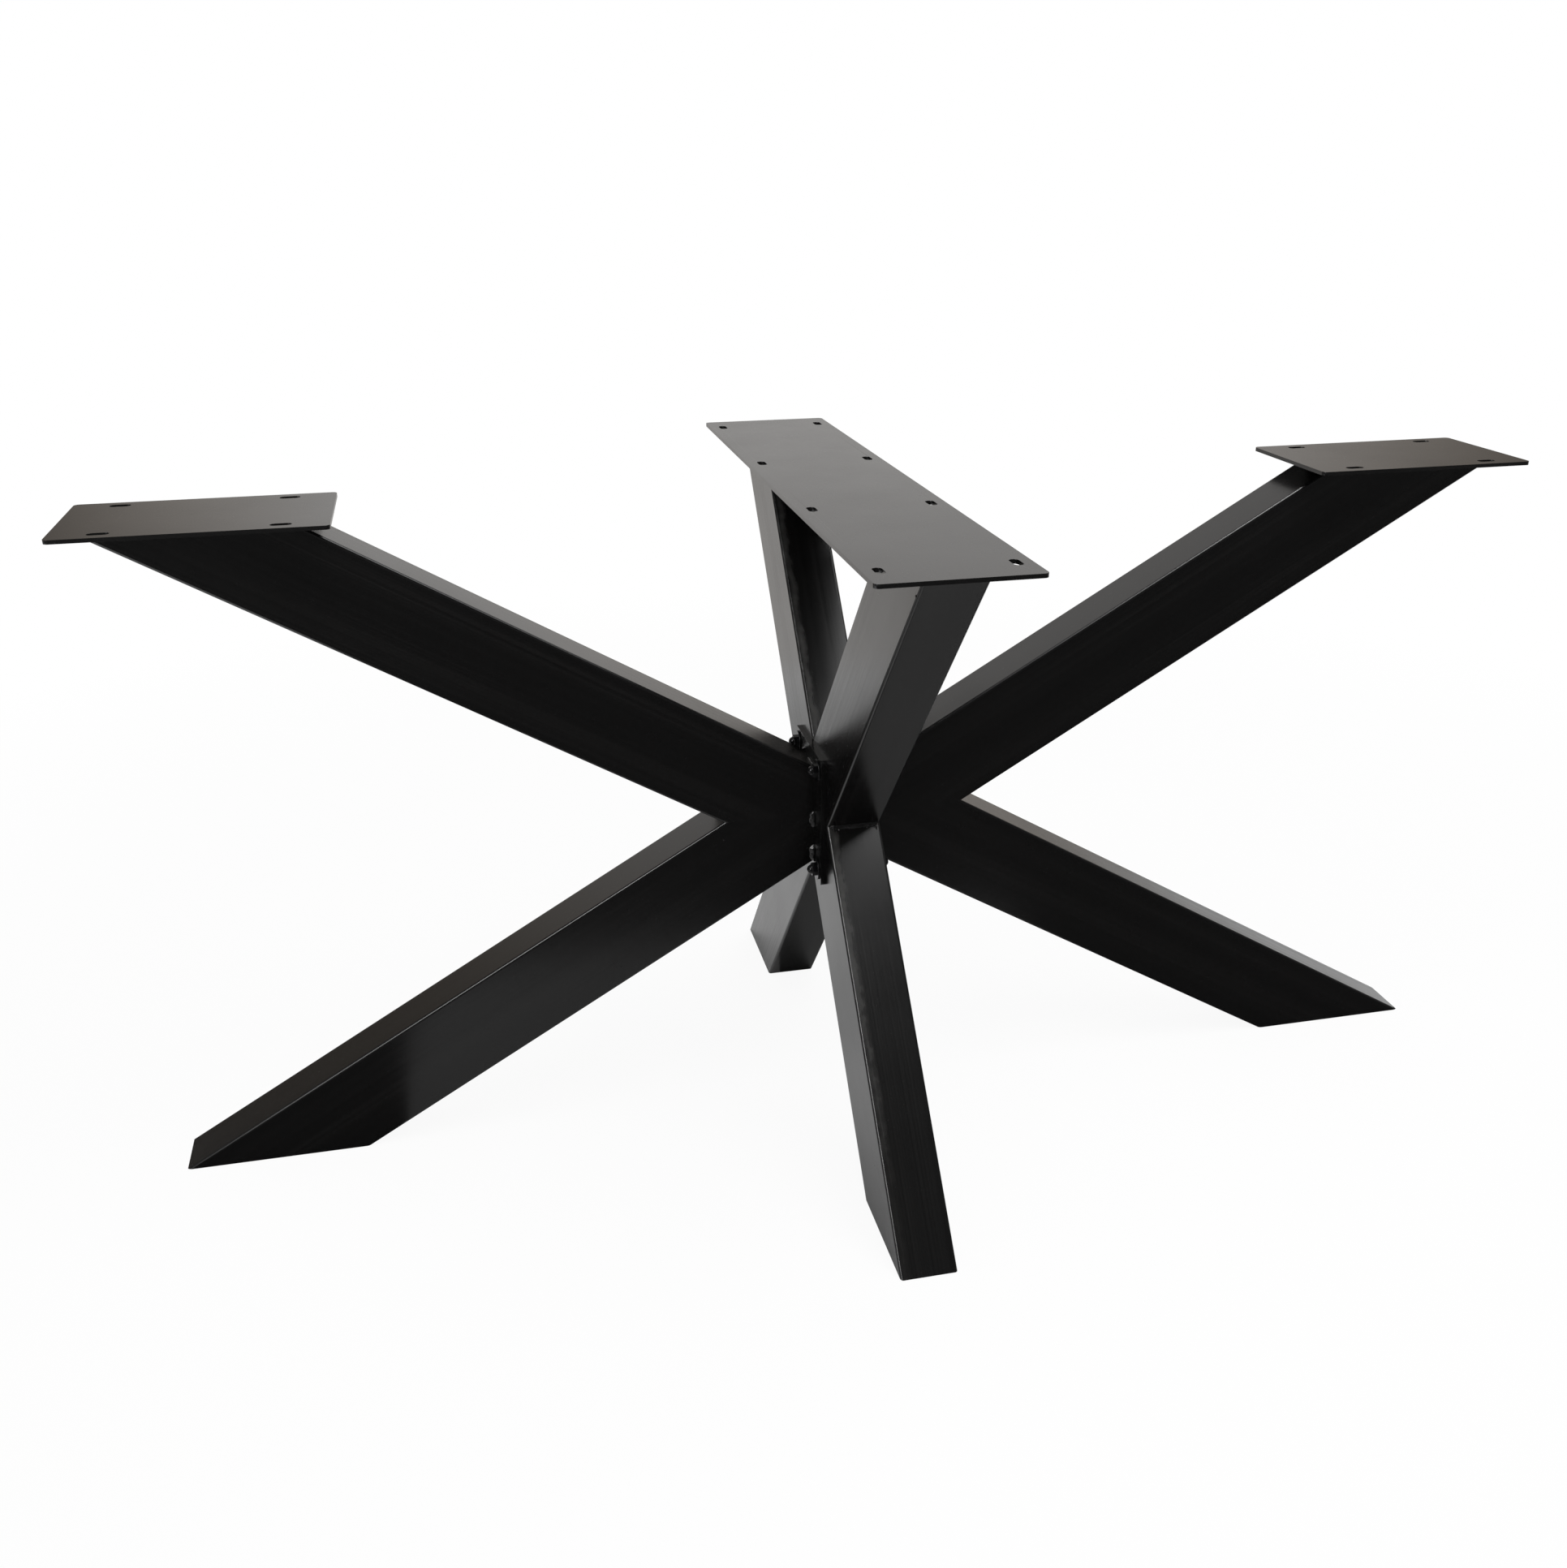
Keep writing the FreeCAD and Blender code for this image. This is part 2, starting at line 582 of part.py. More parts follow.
def make_cap_nut_pattern():
    """A low cap nut on its own Z axis: a hexagon, a dome over it and a blind threaded bore."""
    body = doc.addObject("PartDesign::Body", "cap_nut_pattern")
    hexagon = add_sketch(body, "nut_hexagon")
    draw_hexagon(hexagon, "@nut_across_flats")
    add_pad(body, hexagon, "nut_hex", "@nut_hex_height")
    waste = add_sketch(body, "nut_corner_waste", "XZ_Plane")
    draw_corner_waste(waste)
    corners = body.newObject("PartDesign::Groove", "nut_turned_corners")
    corners.Profile = waste
    corners.ReferenceAxis = (waste, ["V_Axis"])
    corners.Angle = FULL_TURN
    dome_outline = add_sketch(body, "nut_dome_outline", "XZ_Plane")
    draw_nut_dome(dome_outline)
    dome = body.newObject("PartDesign::Revolution", "nut_dome")
    dome.Profile = dome_outline
    dome.ReferenceAxis = (dome_outline, ["V_Axis"])
    dome.Angle = FULL_TURN
    bore_circle = add_sketch(body, "nut_bore_circle")
    draw_circle(bore_circle, "bore", "@rod_diameter")
    bore = body.newObject("PartDesign::Pocket", "nut_bore")
    bore.Profile = bore_circle
    bore.Reversed = True
    bind(bore, "Length", "@nut_thread_depth")
    return body


# Weld beads

# Half the opening between two faces that meet square
SQUARE_CORNER_HALF = 45


def make_bead_pattern(name, half_opening, bead_size, length):
    """A bead that fills a corner: a slice of a round bar about its own X axis, open along Y."""
    bead = doc.addObject("Part::Cylinder", name)
    bind(bead, "Radius", bead_size)
    bind(bead, "Height", length)
    bind(bead, "Angle", "2 * (%s)" % half_opening)
    return bead


def bead_placement(corner, run, outward, half_opening, length):
    """Lays a bead with its middle at a corner, along run and opening towards outward."""
    sideways = run.cross(outward)
    turn = Rotation(outward, sideways, run, "ZXY") * Rotation(Vector(0, 0, 1), -half_opening)
    return Placement(corner - run * (length / 2), turn)


def make_centre_joint_welds():
    """Four beads across the X joint: in the front and back notches and in the upper and lower vees."""
    length = size("tube_face_flat")
    angle = size("centre_leg_angle")
    notch = make_bead_pattern("notch_bead_pattern", "@centre_leg_angle", "@notch_weld_size", "@tube_face_flat")
    vee = make_bead_pattern("vee_bead_pattern", "90 - @centre_leg_angle", "@notch_weld_size", "@tube_face_flat")
    links = []
    run = Vector(1, 0, 0)
    for number, side in enumerate((-1, 1), start=1):
        for kind, pattern, outward, distance, half_opening in (
                ("notch", notch, Vector(0, side, 0), size("notch_distance"), angle),
                ("vee", vee, Vector(0, 0, side), size("vee_distance"), 90 - angle)):
            link = doc.addObject("App::Link", "centre_%s_bead_%d" % (kind, number))
            link.LinkedObject = pattern
            link.LinkTransform = False
            corner = Vector(0, 0, size("half_height")) + outward * distance
            link.Placement = bead_placement(corner, run, outward, half_opening, length)
            links.append(link)
    group = doc.addObject("Part::Compound", "centre_joint_welds")
    group.Links = links
    return group


def make_flange_welds(side_name, side, pattern):
    """Short stitches in the corner between the tube's side faces and the flange plate."""
    placements = []
    for front in (-1, 1):
        for step in (-0.5, 0.5):
            corner = Vector(side * size("flange_face"), front * size("tube_width") / 2,
                            size("half_height") - size("stitch_weld_drop") + step * size("stitch_weld_spacing"))
            outward = Vector(side, front, 0).normalize()
            placements.append(bead_placement(corner, Vector(0, 0, 1), outward, SQUARE_CORNER_HALF,
                                             size("stitch_weld_length")))
    return make_group(side_name + "_flange_welds", pattern, placements)


def make_plate_welds(name, pattern, middles, run, length):
    """Beads along both sides of a tube's top end, under its top plate."""
    aside = Vector(0, 0, 1).cross(run)
    placements = []
    for middle in middles:
        for face in (-1, 1):
            corner = middle + aside * (face * size("tube_width") / 2)
            outward = (aside * face - Vector(0, 0, 1)).normalize()
            placements.append(bead_placement(corner, run, outward, SQUARE_CORNER_HALF, length))
    return make_group(name, pattern, placements)


def make_welds():
    """All the beads that hold the frames together."""
    groups = [make_centre_joint_welds()]
    half_corner = str(SQUARE_CORNER_HALF)
    stitch = make_bead_pattern("stitch_bead_pattern", half_corner, "@stitch_weld_size",
                               "@stitch_weld_length")
    side_bead = make_bead_pattern("side_plate_bead_pattern", half_corner, "@plate_weld_size",
                                  "@side_plate_weld_run")
    centre_bead = make_bead_pattern("centre_plate_bead_pattern", half_corner, "@plate_weld_size",
                                    "@centre_plate_weld_run")
    top = size("frame_height")
    leg_top = size("half_height") / math.tan(math.radians(size("centre_leg_angle")))
    centre_tops = [Vector(0, end * leg_top, top) for end in (-1, 1)]
    groups.append(make_plate_welds("centre_plate_welds", centre_bead, centre_tops, Vector(0, 1, 0),
                                   size("centre_plate_weld_run")))
    half_cut = size("tube_depth") / 2 / math.sin(math.radians(size("side_leg_angle")))
    for side_name, side in (("left", -1), ("right", 1)):
        groups.append(make_flange_welds(side_name, side, stitch))
        tube_top = Vector(side * (size("side_tube_reach") - half_cut), 0, top)
        groups.append(make_plate_welds(side_name + "_plate_welds", side_bead, [tube_top], Vector(1, 0, 0),
                                       size("side_plate_weld_run")))
    return groups


# The whole base

nodes = make_centre_tubes() + make_foot_plates() + make_top_plates()
nodes.append(make_tie_rods())
washer = make_washer_pattern()
cap_nut = make_cap_nut_pattern()
for side_name, side in (("left", -1), ("right", 1)):
    nodes += make_side_tubes(side_name, side)
    nodes.append(make_flange_plate(side_name, side))
    nodes.append(make_group(side_name + "_washers", washer, fastener_placements(side, size("flange_face"))))
    nodes.append(make_group(side_name + "_cap_nuts", cap_nut, fastener_placements(side, size("nut_seat"))))
nodes += make_welds()
doc.recompute()

for item in doc.Objects:
    if "Invalid" in item.State or "Error" in item.State:
        raise RuntimeError("%s did not build: %s" % (item.Name, item.State))
for node in nodes:
    if node.Shape.isNull() or not node.Shape.isValid():
        raise RuntimeError("%s has no valid shape" % node.Label)

os.makedirs("parts", exist_ok=True)
for node in nodes:
    node.Shape.exportStep("parts/%s.step" % node.Label)
print("wrote", len(nodes), "parts")
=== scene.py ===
import math
import random

import bmesh
import bpy
from mathutils import Matrix, Vector, noise


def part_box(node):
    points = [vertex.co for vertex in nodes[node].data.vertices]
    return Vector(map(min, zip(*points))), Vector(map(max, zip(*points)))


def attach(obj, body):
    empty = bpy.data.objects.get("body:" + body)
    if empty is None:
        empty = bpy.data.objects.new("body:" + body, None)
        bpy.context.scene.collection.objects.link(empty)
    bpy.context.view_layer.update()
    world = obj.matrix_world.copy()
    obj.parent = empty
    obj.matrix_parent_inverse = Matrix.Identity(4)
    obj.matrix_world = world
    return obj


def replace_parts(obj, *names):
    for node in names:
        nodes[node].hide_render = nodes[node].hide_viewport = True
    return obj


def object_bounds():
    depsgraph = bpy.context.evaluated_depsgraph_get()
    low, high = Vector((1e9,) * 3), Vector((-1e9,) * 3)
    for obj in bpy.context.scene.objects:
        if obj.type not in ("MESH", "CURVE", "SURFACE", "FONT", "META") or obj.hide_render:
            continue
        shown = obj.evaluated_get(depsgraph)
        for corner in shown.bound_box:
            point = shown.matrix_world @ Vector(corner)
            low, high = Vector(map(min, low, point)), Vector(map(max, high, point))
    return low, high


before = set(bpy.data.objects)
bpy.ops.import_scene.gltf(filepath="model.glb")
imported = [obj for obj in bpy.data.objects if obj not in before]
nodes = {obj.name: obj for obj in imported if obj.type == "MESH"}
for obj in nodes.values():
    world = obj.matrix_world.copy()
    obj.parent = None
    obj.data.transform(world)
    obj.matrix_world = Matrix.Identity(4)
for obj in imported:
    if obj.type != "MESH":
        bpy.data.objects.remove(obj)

cad_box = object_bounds()


# The legs of the centre frame.
# Three lengths of cold-formed rectangular steel tube: one runs through and two halves are butted on it,
# so that they make an X. They are sawn level at the floor and at the top, and powder coated satin black.

def new_group(name, inputs, outputs):
    """An empty shader node group with named sockets, and its input and output nodes."""
    tree = bpy.data.node_groups.new(name, "ShaderNodeTree")
    for label, kind in inputs:
        tree.interface.new_socket(label, in_out="INPUT", socket_type=kind)
    for label, kind in outputs:
        tree.interface.new_socket(label, in_out="OUTPUT", socket_type=kind)
    return tree, tree.nodes.new("NodeGroupInput"), tree.nodes.new("NodeGroupOutput")


def join(tree, source, target):
    """Links one socket to another."""
    tree.links.new(source, target)


def add_noise(tree, vector, scale, detail, roughness):
    """Cloudy noise over a vector; scale is in clouds a metre."""
    cloud = tree.nodes.new("ShaderNodeTexNoise")
    cloud.inputs["Scale"].default_value = scale
    cloud.inputs["Detail"].default_value = detail
    cloud.inputs["Roughness"].default_value = roughness
    join(tree, vector, cloud.inputs["Vector"])
    return cloud.outputs["Fac"]


def spread(tree, value, low, high, out_low=0.0, out_high=1.0):
    """Spreads a value from one range to another and keeps it inside."""
    step = tree.nodes.new("ShaderNodeMapRange")
    ends = (("From Min", low), ("From Max", high), ("To Min", out_low), ("To Max", out_high))
    for label, number in ends:
        step.inputs[label].default_value = number
    join(tree, value, step.inputs["Value"])
    return step.outputs["Result"]


def combine(tree, operation, first, second):
    """One step of arithmetic; the second term is a socket or a number."""
    step = tree.nodes.new("ShaderNodeMath")
    step.operation = operation
    join(tree, first, step.inputs[0])
    if isinstance(second, (int, float)):
        step.inputs[1].default_value = second
    else:
        join(tree, second, step.inputs[1])
    return step.outputs["Value"]


# Noise mostly stays between these two.
NOISE_LOW = 0.3
NOISE_HIGH = 0.7
CLOUDS_PER_METRE = 9.0
SPECKS_PER_METRE = 420.0
SPECK_FROM = 0.74
SPECK_FULL = 0.82


def make_powder_skin():
    """The skin of baked powder paint: fine orange peel, cloudy gloss and a few settled specks."""
    tree, inlet, outlet = new_group(
        "powder_skin",
        [("Vector", "NodeSocketVector"), ("Peel Scale", "NodeSocketFloat")],
        [("Peel", "NodeSocketFloat"), ("Cloud", "NodeSocketFloat"), ("Specks", "NodeSocketFloat")])
    peel = tree.nodes.new("ShaderNodeTexNoise")
    peel.inputs["Detail"].default_value = 2.0
    join(tree, inlet.outputs["Vector"], peel.inputs["Vector"])
    join(tree, inlet.outputs["Peel Scale"], peel.inputs["Scale"])
    cloud = add_noise(tree, inlet.outputs["Vector"], CLOUDS_PER_METRE, detail=4.0, roughness=0.6)
    specks = add_noise(tree, inlet.outputs["Vector"], SPECKS_PER_METRE, detail=1.0, roughness=0.5)
    join(tree, peel.outputs["Fac"], outlet.inputs["Peel"])
    join(tree, spread(tree, cloud, NOISE_LOW, NOISE_HIGH), outlet.inputs["Cloud"])
    join(tree, spread(tree, specks, SPECK_FROM, SPECK_FULL), outlet.inputs["Specks"])
    return tree


LINES_PER_PITCH = 1.0
BANDS_PER_PITCH = 0.12
LINE_FROM = 0.35
LINE_FULL = 0.65


def make_drawn_lines():
    """The faint lines that rolling leaves along a tube and that show through thin paint."""
    tree, inlet, outlet = new_group(
        "drawn_lines",
        [("Vector", "NodeSocketVector")],
        [("Lines", "NodeSocketFloat"), ("Bands", "NodeSocketFloat")])
    fine = add_noise(tree, inlet.outputs["Vector"], LINES_PER_PITCH, detail=3.0, roughness=0.65)
    bands = add_noise(tree, inlet.outputs["Vector"], BANDS_PER_PITCH, detail=2.0, roughness=0.5)
    join(tree, spread(tree, fine, LINE_FROM, LINE_FULL), outlet.inputs["Lines"])
    join(tree, spread(tree, bands, LINE_FROM, LINE_FULL), outlet.inputs["Bands"])
    return tree


powder_skin = make_powder_skin()
drawn_lines = make_drawn_lines()
COAT_BLACK = (0.0032, 0.0031, 0.0031, 1.0)
COAT_HAZE = (0.0068, 0.0065, 0.0063, 1.0)
COAT_IOR = 1.39
TUBE_PEEL = 900.0
TUBE_GLOSS = 0.225
GLOSS_CLOUD = 0.02
GLOSS_LINES = 0.025
TUBE_SPECK_DULL = 0.1
PEEL_SHARE = 0.5
LINE_SHARE = 0.35
TUBE_RELIEF = 0.00002
LINE_PITCH = 0.0030
LINE_LENGTH = 0.9


def place_group(tree, group):
    """Puts a node group into a material."""
    node = tree.nodes.new("ShaderNodeGroup")
    node.node_tree = group
    return node


def mix_colours(tree, share, first, second):
    """Goes from one colour to another by a share; the first is a colour or a socket."""
    mixed = tree.nodes.new("ShaderNodeMix")
    mixed.data_type = "RGBA"
    if isinstance(first, tuple):
        mixed.inputs["A"].default_value = first
    else:
        join(tree, first, mixed.inputs["A"])
    mixed.inputs["B"].default_value = second
    join(tree, share, mixed.inputs["Factor"])
    return mixed.outputs["Result"]


def raise_bumps(tree, height, depth, shader):
    """Turns a height from 0 to 1 into bumps of the given depth, in metres."""
    relief = tree.nodes.new("ShaderNodeBump")
    relief.inputs["Strength"].default_value = 1.0
    relief.inputs["Distance"].default_value = depth
    join(tree, height, relief.inputs["Height"])
    join(tree, relief.outputs["Normal"], shader.inputs["Normal"])


def split(tree, vector):
    """Gives the three parts of a vector."""
    parts = tree.nodes.new("ShaderNodeSeparateXYZ")
    join(tree, vector, parts.inputs["Vector"])
    return parts.outputs


SEAM_PLACE = -0.0245
SEAM_WIDTH = 0.0085
SEAM_FADED_AT = 0.68
SEAM_FULL_WITHIN = 0.08
SEAM_WAVE = 0.0024
SEAM_WAVES_PER_METRE = 45.0
SEAM_PATCHES_PER_METRE = 70.0
SEAM_THIN_PATCH = 0.45
SEAM_SHADED_SHARE = 0.15
SEAM_COLOUR = (0.046, 0.045, 0.043, 1.0)
SEAM_NO_SHADE_ABOVE = 0.33
SEAM_FULL_SHADE_BELOW = 0.06
SEAM_DULL = 0.16
SEAM_RAISED = 1.5
UPPER_FACE_FROM = 0.3
UPPER_FACE_FULL = 0.5


def weld_seam_mask(tree, place):
    """Marks the tube's lengthwise weld, a patchy wavy band by one edge of its upper face, with painted
    shade low down.
    """
    parts = split(tree, place)
    sway = add_noise(tree, place, SEAM_WAVES_PER_METRE, detail=2.0, roughness=0.5)
    wave = spread(tree, sway, NOISE_LOW, NOISE_HIGH, -SEAM_WAVE, SEAM_WAVE)
    off_line = combine(tree, "SUBTRACT", combine(tree, "ADD", parts["X"], wave), SEAM_PLACE)
    band = spread(tree, combine(tree, "ABSOLUTE", off_line, 0.0),
                  SEAM_WIDTH * SEAM_FADED_AT, SEAM_WIDTH * SEAM_FULL_WITHIN)
    facing = split(tree, tree.nodes.new("ShaderNodeTexCoord").outputs["Normal"])
    upper = spread(tree, facing["Z"], UPPER_FACE_FROM, UPPER_FACE_FULL)
    cloud = add_noise(tree, place, SEAM_PATCHES_PER_METRE, detail=2.0, roughness=0.6)
    patches = spread(tree, cloud, NOISE_LOW, NOISE_HIGH, SEAM_THIN_PATCH, 1.0)
    # Low down the band fades out: this is painted shade towards the floor, not a change in the seam.
    painted_shade_low = spread(tree, parts["Z"], SEAM_FULL_SHADE_BELOW, SEAM_NO_SHADE_ABOVE, SEAM_SHADED_SHARE, 1.0)
    band = combine(tree, "MULTIPLY", combine(tree, "MULTIPLY", band, upper), patches)
    return combine(tree, "MULTIPLY", band, painted_shade_low)


def coat_with_lines(name, along, turn, with_seam=False):
    """Satin black powder coat on a tube; its lines follow the tube's own direction."""
    material = bpy.data.materials.new(name)
    material.use_nodes = True
    tree = material.node_tree
    shader = tree.nodes["Principled BSDF"]
    place = tree.nodes.new("ShaderNodeTexCoord").outputs["Object"]
    skin = place_group(tree, powder_skin)
    skin.inputs["Peel Scale"].default_value = TUBE_PEEL
    join(tree, place, skin.inputs["Vector"])
    follow = tree.nodes.new("ShaderNodeMapping")
    follow.vector_type = "TEXTURE"
    follow.inputs["Rotation"].default_value = turn
    pitches = [LINE_PITCH] * 3
    pitches[along] = LINE_LENGTH
    follow.inputs["Scale"].default_value = pitches
    join(tree, place, follow.inputs["Vector"])
    lines = place_group(tree, drawn_lines)
    join(tree, follow.outputs["Vector"], lines.inputs["Vector"])

    haze = combine(tree, "MULTIPLY", lines.outputs["Lines"], lines.outputs["Bands"])
    cloudy = spread(tree, skin.outputs["Cloud"], 0.0, 1.0,
                    TUBE_GLOSS - GLOSS_CLOUD, TUBE_GLOSS + GLOSS_CLOUD)
    lined = spread(tree, lines.outputs["Lines"], 0.0, 1.0, -GLOSS_LINES, GLOSS_LINES)
    gloss = combine(tree, "ADD", cloudy, lined)
    dulled = combine(tree, "MULTIPLY", skin.outputs["Specks"], TUBE_SPECK_DULL)
    gloss = combine(tree, "ADD", gloss, dulled)
    height = combine(tree, "ADD", combine(tree, "MULTIPLY", skin.outputs["Peel"], PEEL_SHARE),
                     combine(tree, "MULTIPLY", lines.outputs["Lines"], LINE_SHARE))
    colour = mix_colours(tree, haze, COAT_BLACK, COAT_HAZE)
    if with_seam:
        seam = weld_seam_mask(tree, place)
        colour = mix_colours(tree, seam, colour, SEAM_COLOUR)
        gloss = combine(tree, "ADD", gloss, combine(tree, "MULTIPLY", seam, SEAM_DULL))
        height = combine(tree, "ADD", height, combine(tree, "MULTIPLY", seam, SEAM_RAISED))
    join(tree, colour, shader.inputs["Base Color"])
    join(tree, gloss, shader.inputs["Roughness"])
    raise_bumps(tree, height, TUBE_RELIEF, shader)
    shader.inputs["IOR"].default_value = COAT_IOR
    return material


def paint(node_name, material):
    """Gives a CAD piece its finish."""
    piece = nodes[node_name]
    piece.data.materials.clear()
    piece.data.materials.append(material)


TUBE_DEPTH = 0.100
ALONG_Y = 1
tube_low, tube_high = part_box("centre_long_tube")
half_height = (tube_low.z + tube_high.z) / 2
centre_reach = (tube_high.y - tube_low.y) / 2
# The sawn ends reach out to the far corners, so the slope follows from height, reach and depth.
centre_slope = math.atan2(half_height, centre_reach) + math.asin(
    TUBE_DEPTH / 2 / math.hypot(half_height, centre_reach))

long_coat = coat_with_lines("coat_on_long_tube", ALONG_Y, (centre_slope, 0, 0), with_seam=True)
half_coat = coat_with_lines("coat_on_half_tubes", ALONG_Y, (-centre_slope, 0, 0))
paint("centre_long_tube", long_coat)
paint("centre_upper_half_tube", half_coat)
paint("centre_lower_half_tube", half_coat)


# The welds of the centre frame.
# Beads of weld metal in the front and back notches and in the upper and lower vees, where the halves
# meet the long tube. They are laid by hand, left unground with their spatter, and painted over.

PIECE_HAZE = 0.5
PIECE_SPECK_DULL = 0.12


def coat_on_metal(name, rough, peel_scale, peel_depth):
    """Powder coat on a piece with no rolled lines, such as a plate or a bead."""
    material = bpy.data.materials.new(name)
    material.use_nodes = True
    tree = material.node_tree
    shader = tree.nodes["Principled BSDF"]
    skin = place_group(tree, powder_skin)
    skin.inputs["Peel Scale"].default_value = peel_scale
    join(tree, tree.nodes.new("ShaderNodeTexCoord").outputs["Object"], skin.inputs["Vector"])
    haze = combine(tree, "MULTIPLY", skin.outputs["Cloud"], PIECE_HAZE)
    join(tree, mix_colours(tree, haze, COAT_BLACK, COAT_HAZE), shader.inputs["Base Color"])
    gloss = spread(tree, skin.outputs["Cloud"], 0.0, 1.0, rough - GLOSS_CLOUD, rough + GLOSS_CLOUD)
    dulled = combine(tree, "MULTIPLY", skin.outputs["Specks"], PIECE_SPECK_DULL)
    gloss = combine(tree, "ADD", gloss, dulled)
    join(tree, gloss, shader.inputs["Roughness"])
    raise_bumps(tree, skin.outputs["Peel"], peel_depth, shader)
    shader.inputs["IOR"].default_value = COAT_IOR
    return material


BEAD_STEP = 0.0005
BEAD_POINTS = 9
LUMPS_PER_METRE = 170.0
GRAINS_PER_METRE = 420.0
RIPPLE_PITCH = 0.0026
LUMP_DEPTH = 0.18
GRAIN_DEPTH = 0.12
RIPPLE_DEPTH = 0.022
BEAD_HOLLOW = 0.14


def lay_bead(verts, faces, corner, run, length, side_a, side_b, reach_a, reach_b, seed):
    """Adds one rough bead in the corner between two faces.

    It starts at corner and goes length along run. side_a and side_b lie in the two faces, away from the
    corner, and the bead reaches reach_a and reach_b over them.
    """
    rings = max(8, int(length / BEAD_STEP))
    end_round = (reach_a + reach_b) / 2
    first = len(verts)
    for ring in range(rings + 1):
        distance = length * ring / rings
        to_end = min(distance, length - distance) + BEAD_STEP
        fade = math.sqrt(min(1.0, to_end / end_round))
        lump = noise.noise(Vector((distance * LUMPS_PER_METRE, seed, 0.0)))
        ripple = math.sin(2 * math.pi * distance / RIPPLE_PITCH + 3 * lump)
        verts.append(corner + run * distance)
        for step in range(BEAD_POINTS):
            share = step / (BEAD_POINTS - 1)
            grain = noise.noise(Vector((distance * GRAINS_PER_METRE, 3 * share, seed + 0.5)))
            swell = 1 + LUMP_DEPTH * lump + RIPPLE_DEPTH * ripple + GRAIN_DEPTH * grain
            swell *= fade * (1 - BEAD_HOLLOW * math.sin(math.pi * share))
            reach = (side_a * (reach_a * math.cos(share * math.pi / 2))
                     + side_b * (reach_b * math.sin(share * math.pi / 2)))
            verts.append(corner + run * distance + reach * swell)
    width = BEAD_POINTS + 1
    for ring in range(rings):
        here = first + ring * width
        there = here + width
        for point in range(width):
            after = (point + 1) % width
            faces.append((here + point, here + after, there + after, there + point))
    faces.append(tuple(first + point for point in range(width)))
    faces.append(tuple(first + rings * width + point for point in range(width)))


DROP_SIDES = 12
DROP_LEVELS = 4
DROP_HEIGHT = 0.8
DROP_UNEVEN = 0.3


def drop_metal(verts, faces, centre, normal, radius, seed):
    """Adds a small lopsided drop of weld metal that sits on a face."""
    side = normal.orthogonal().normalized()
    other = normal.cross(side)
    first = len(verts)
    for level in range(DROP_LEVELS):
        lift = math.pi / 2 * level / DROP_LEVELS
        for turn in range(DROP_SIDES):
            angle = 2 * math.pi * turn / DROP_SIDES
            flat = side * math.cos(angle) + other * math.sin(angle)
            arm = flat * math.cos(lift) + normal * (DROP_HEIGHT * math.sin(lift))
            uneven = 1 + DROP_UNEVEN * noise.noise(arm * 1.5 + Vector((seed, 0, 0)))
            verts.append(centre + arm * (radius * uneven))
    verts.append(centre + normal * (DROP_HEIGHT * radius))
    for level in range(DROP_LEVELS - 1):
        for turn in range(DROP_SIDES):
            after = (turn + 1) % DROP_SIDES
            low = first + level * DROP_SIDES
            faces.append((low + turn, low + after, low + DROP_SIDES + after, low + DROP_SIDES + turn))
    top = first + (DROP_LEVELS - 1) * DROP_SIDES
    for turn in range(DROP_SIDES):
        faces.append((top + turn, top + (turn + 1) % DROP_SIDES, len(verts) - 1))
    faces.append(tuple(first + turn for turn in range(DROP_SIDES)))


def finish_beads(name, verts, faces):
    """Makes one smooth painted piece of beads and drops."""
    mesh = bpy.data.meshes.new(name)
    mesh.from_pydata(verts, [], faces)
    shape = bmesh.new()
    shape.from_mesh(mesh)
    bmesh.ops.recalc_face_normals(shape, faces=shape.faces)
    shape.to_mesh(mesh)
    shape.free()
    mesh.polygons.foreach_set("use_smooth", [True] * len(mesh.polygons))
    mesh.materials.append(bead_coat)
    piece = bpy.data.objects.new(name, mesh)
    bpy.context.scene.collection.objects.link(piece)
    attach(piece, "root")
    return piece


bead_coat = coat_on_metal("coat_on_beads", rough=0.21, peel_scale=1500.0, peel_depth=0.00005)
NOTCH_LEG = 0.0044
NOTCH_DROPS = 8
DROPS_NEAREST = 0.75
DROPS_FARTHEST = 1.15
SMALLEST_DROP = 0.0008
LARGEST_DROP = 0.0018
VEE_DROP = 0.0023
VEE_STEP_OUT = 0.0015
DRIP_PLACE = 0.90
DRIP_DROPS = 5
DRIP_SWAY = 0.0035
DRIP_THICK = 0.0013
DRIP_THINNING = 0.0006
DRIP_STARTS = 0.8
DRIP_RUNS = 0.9
NOTCH_SEED = 3
VEE_SEED = 8
SPATTER_SEED = 20
beads_low, beads_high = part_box("centre_joint_welds")
bead_length = beads_high.x - beads_low.x
notch_distance = TUBE_DEPTH / 2 / math.sin(centre_slope)
vee_distance = TUBE_DEPTH / 2 / math.cos(centre_slope)
across = Vector((1, 0, 0))
verts, faces = [], []
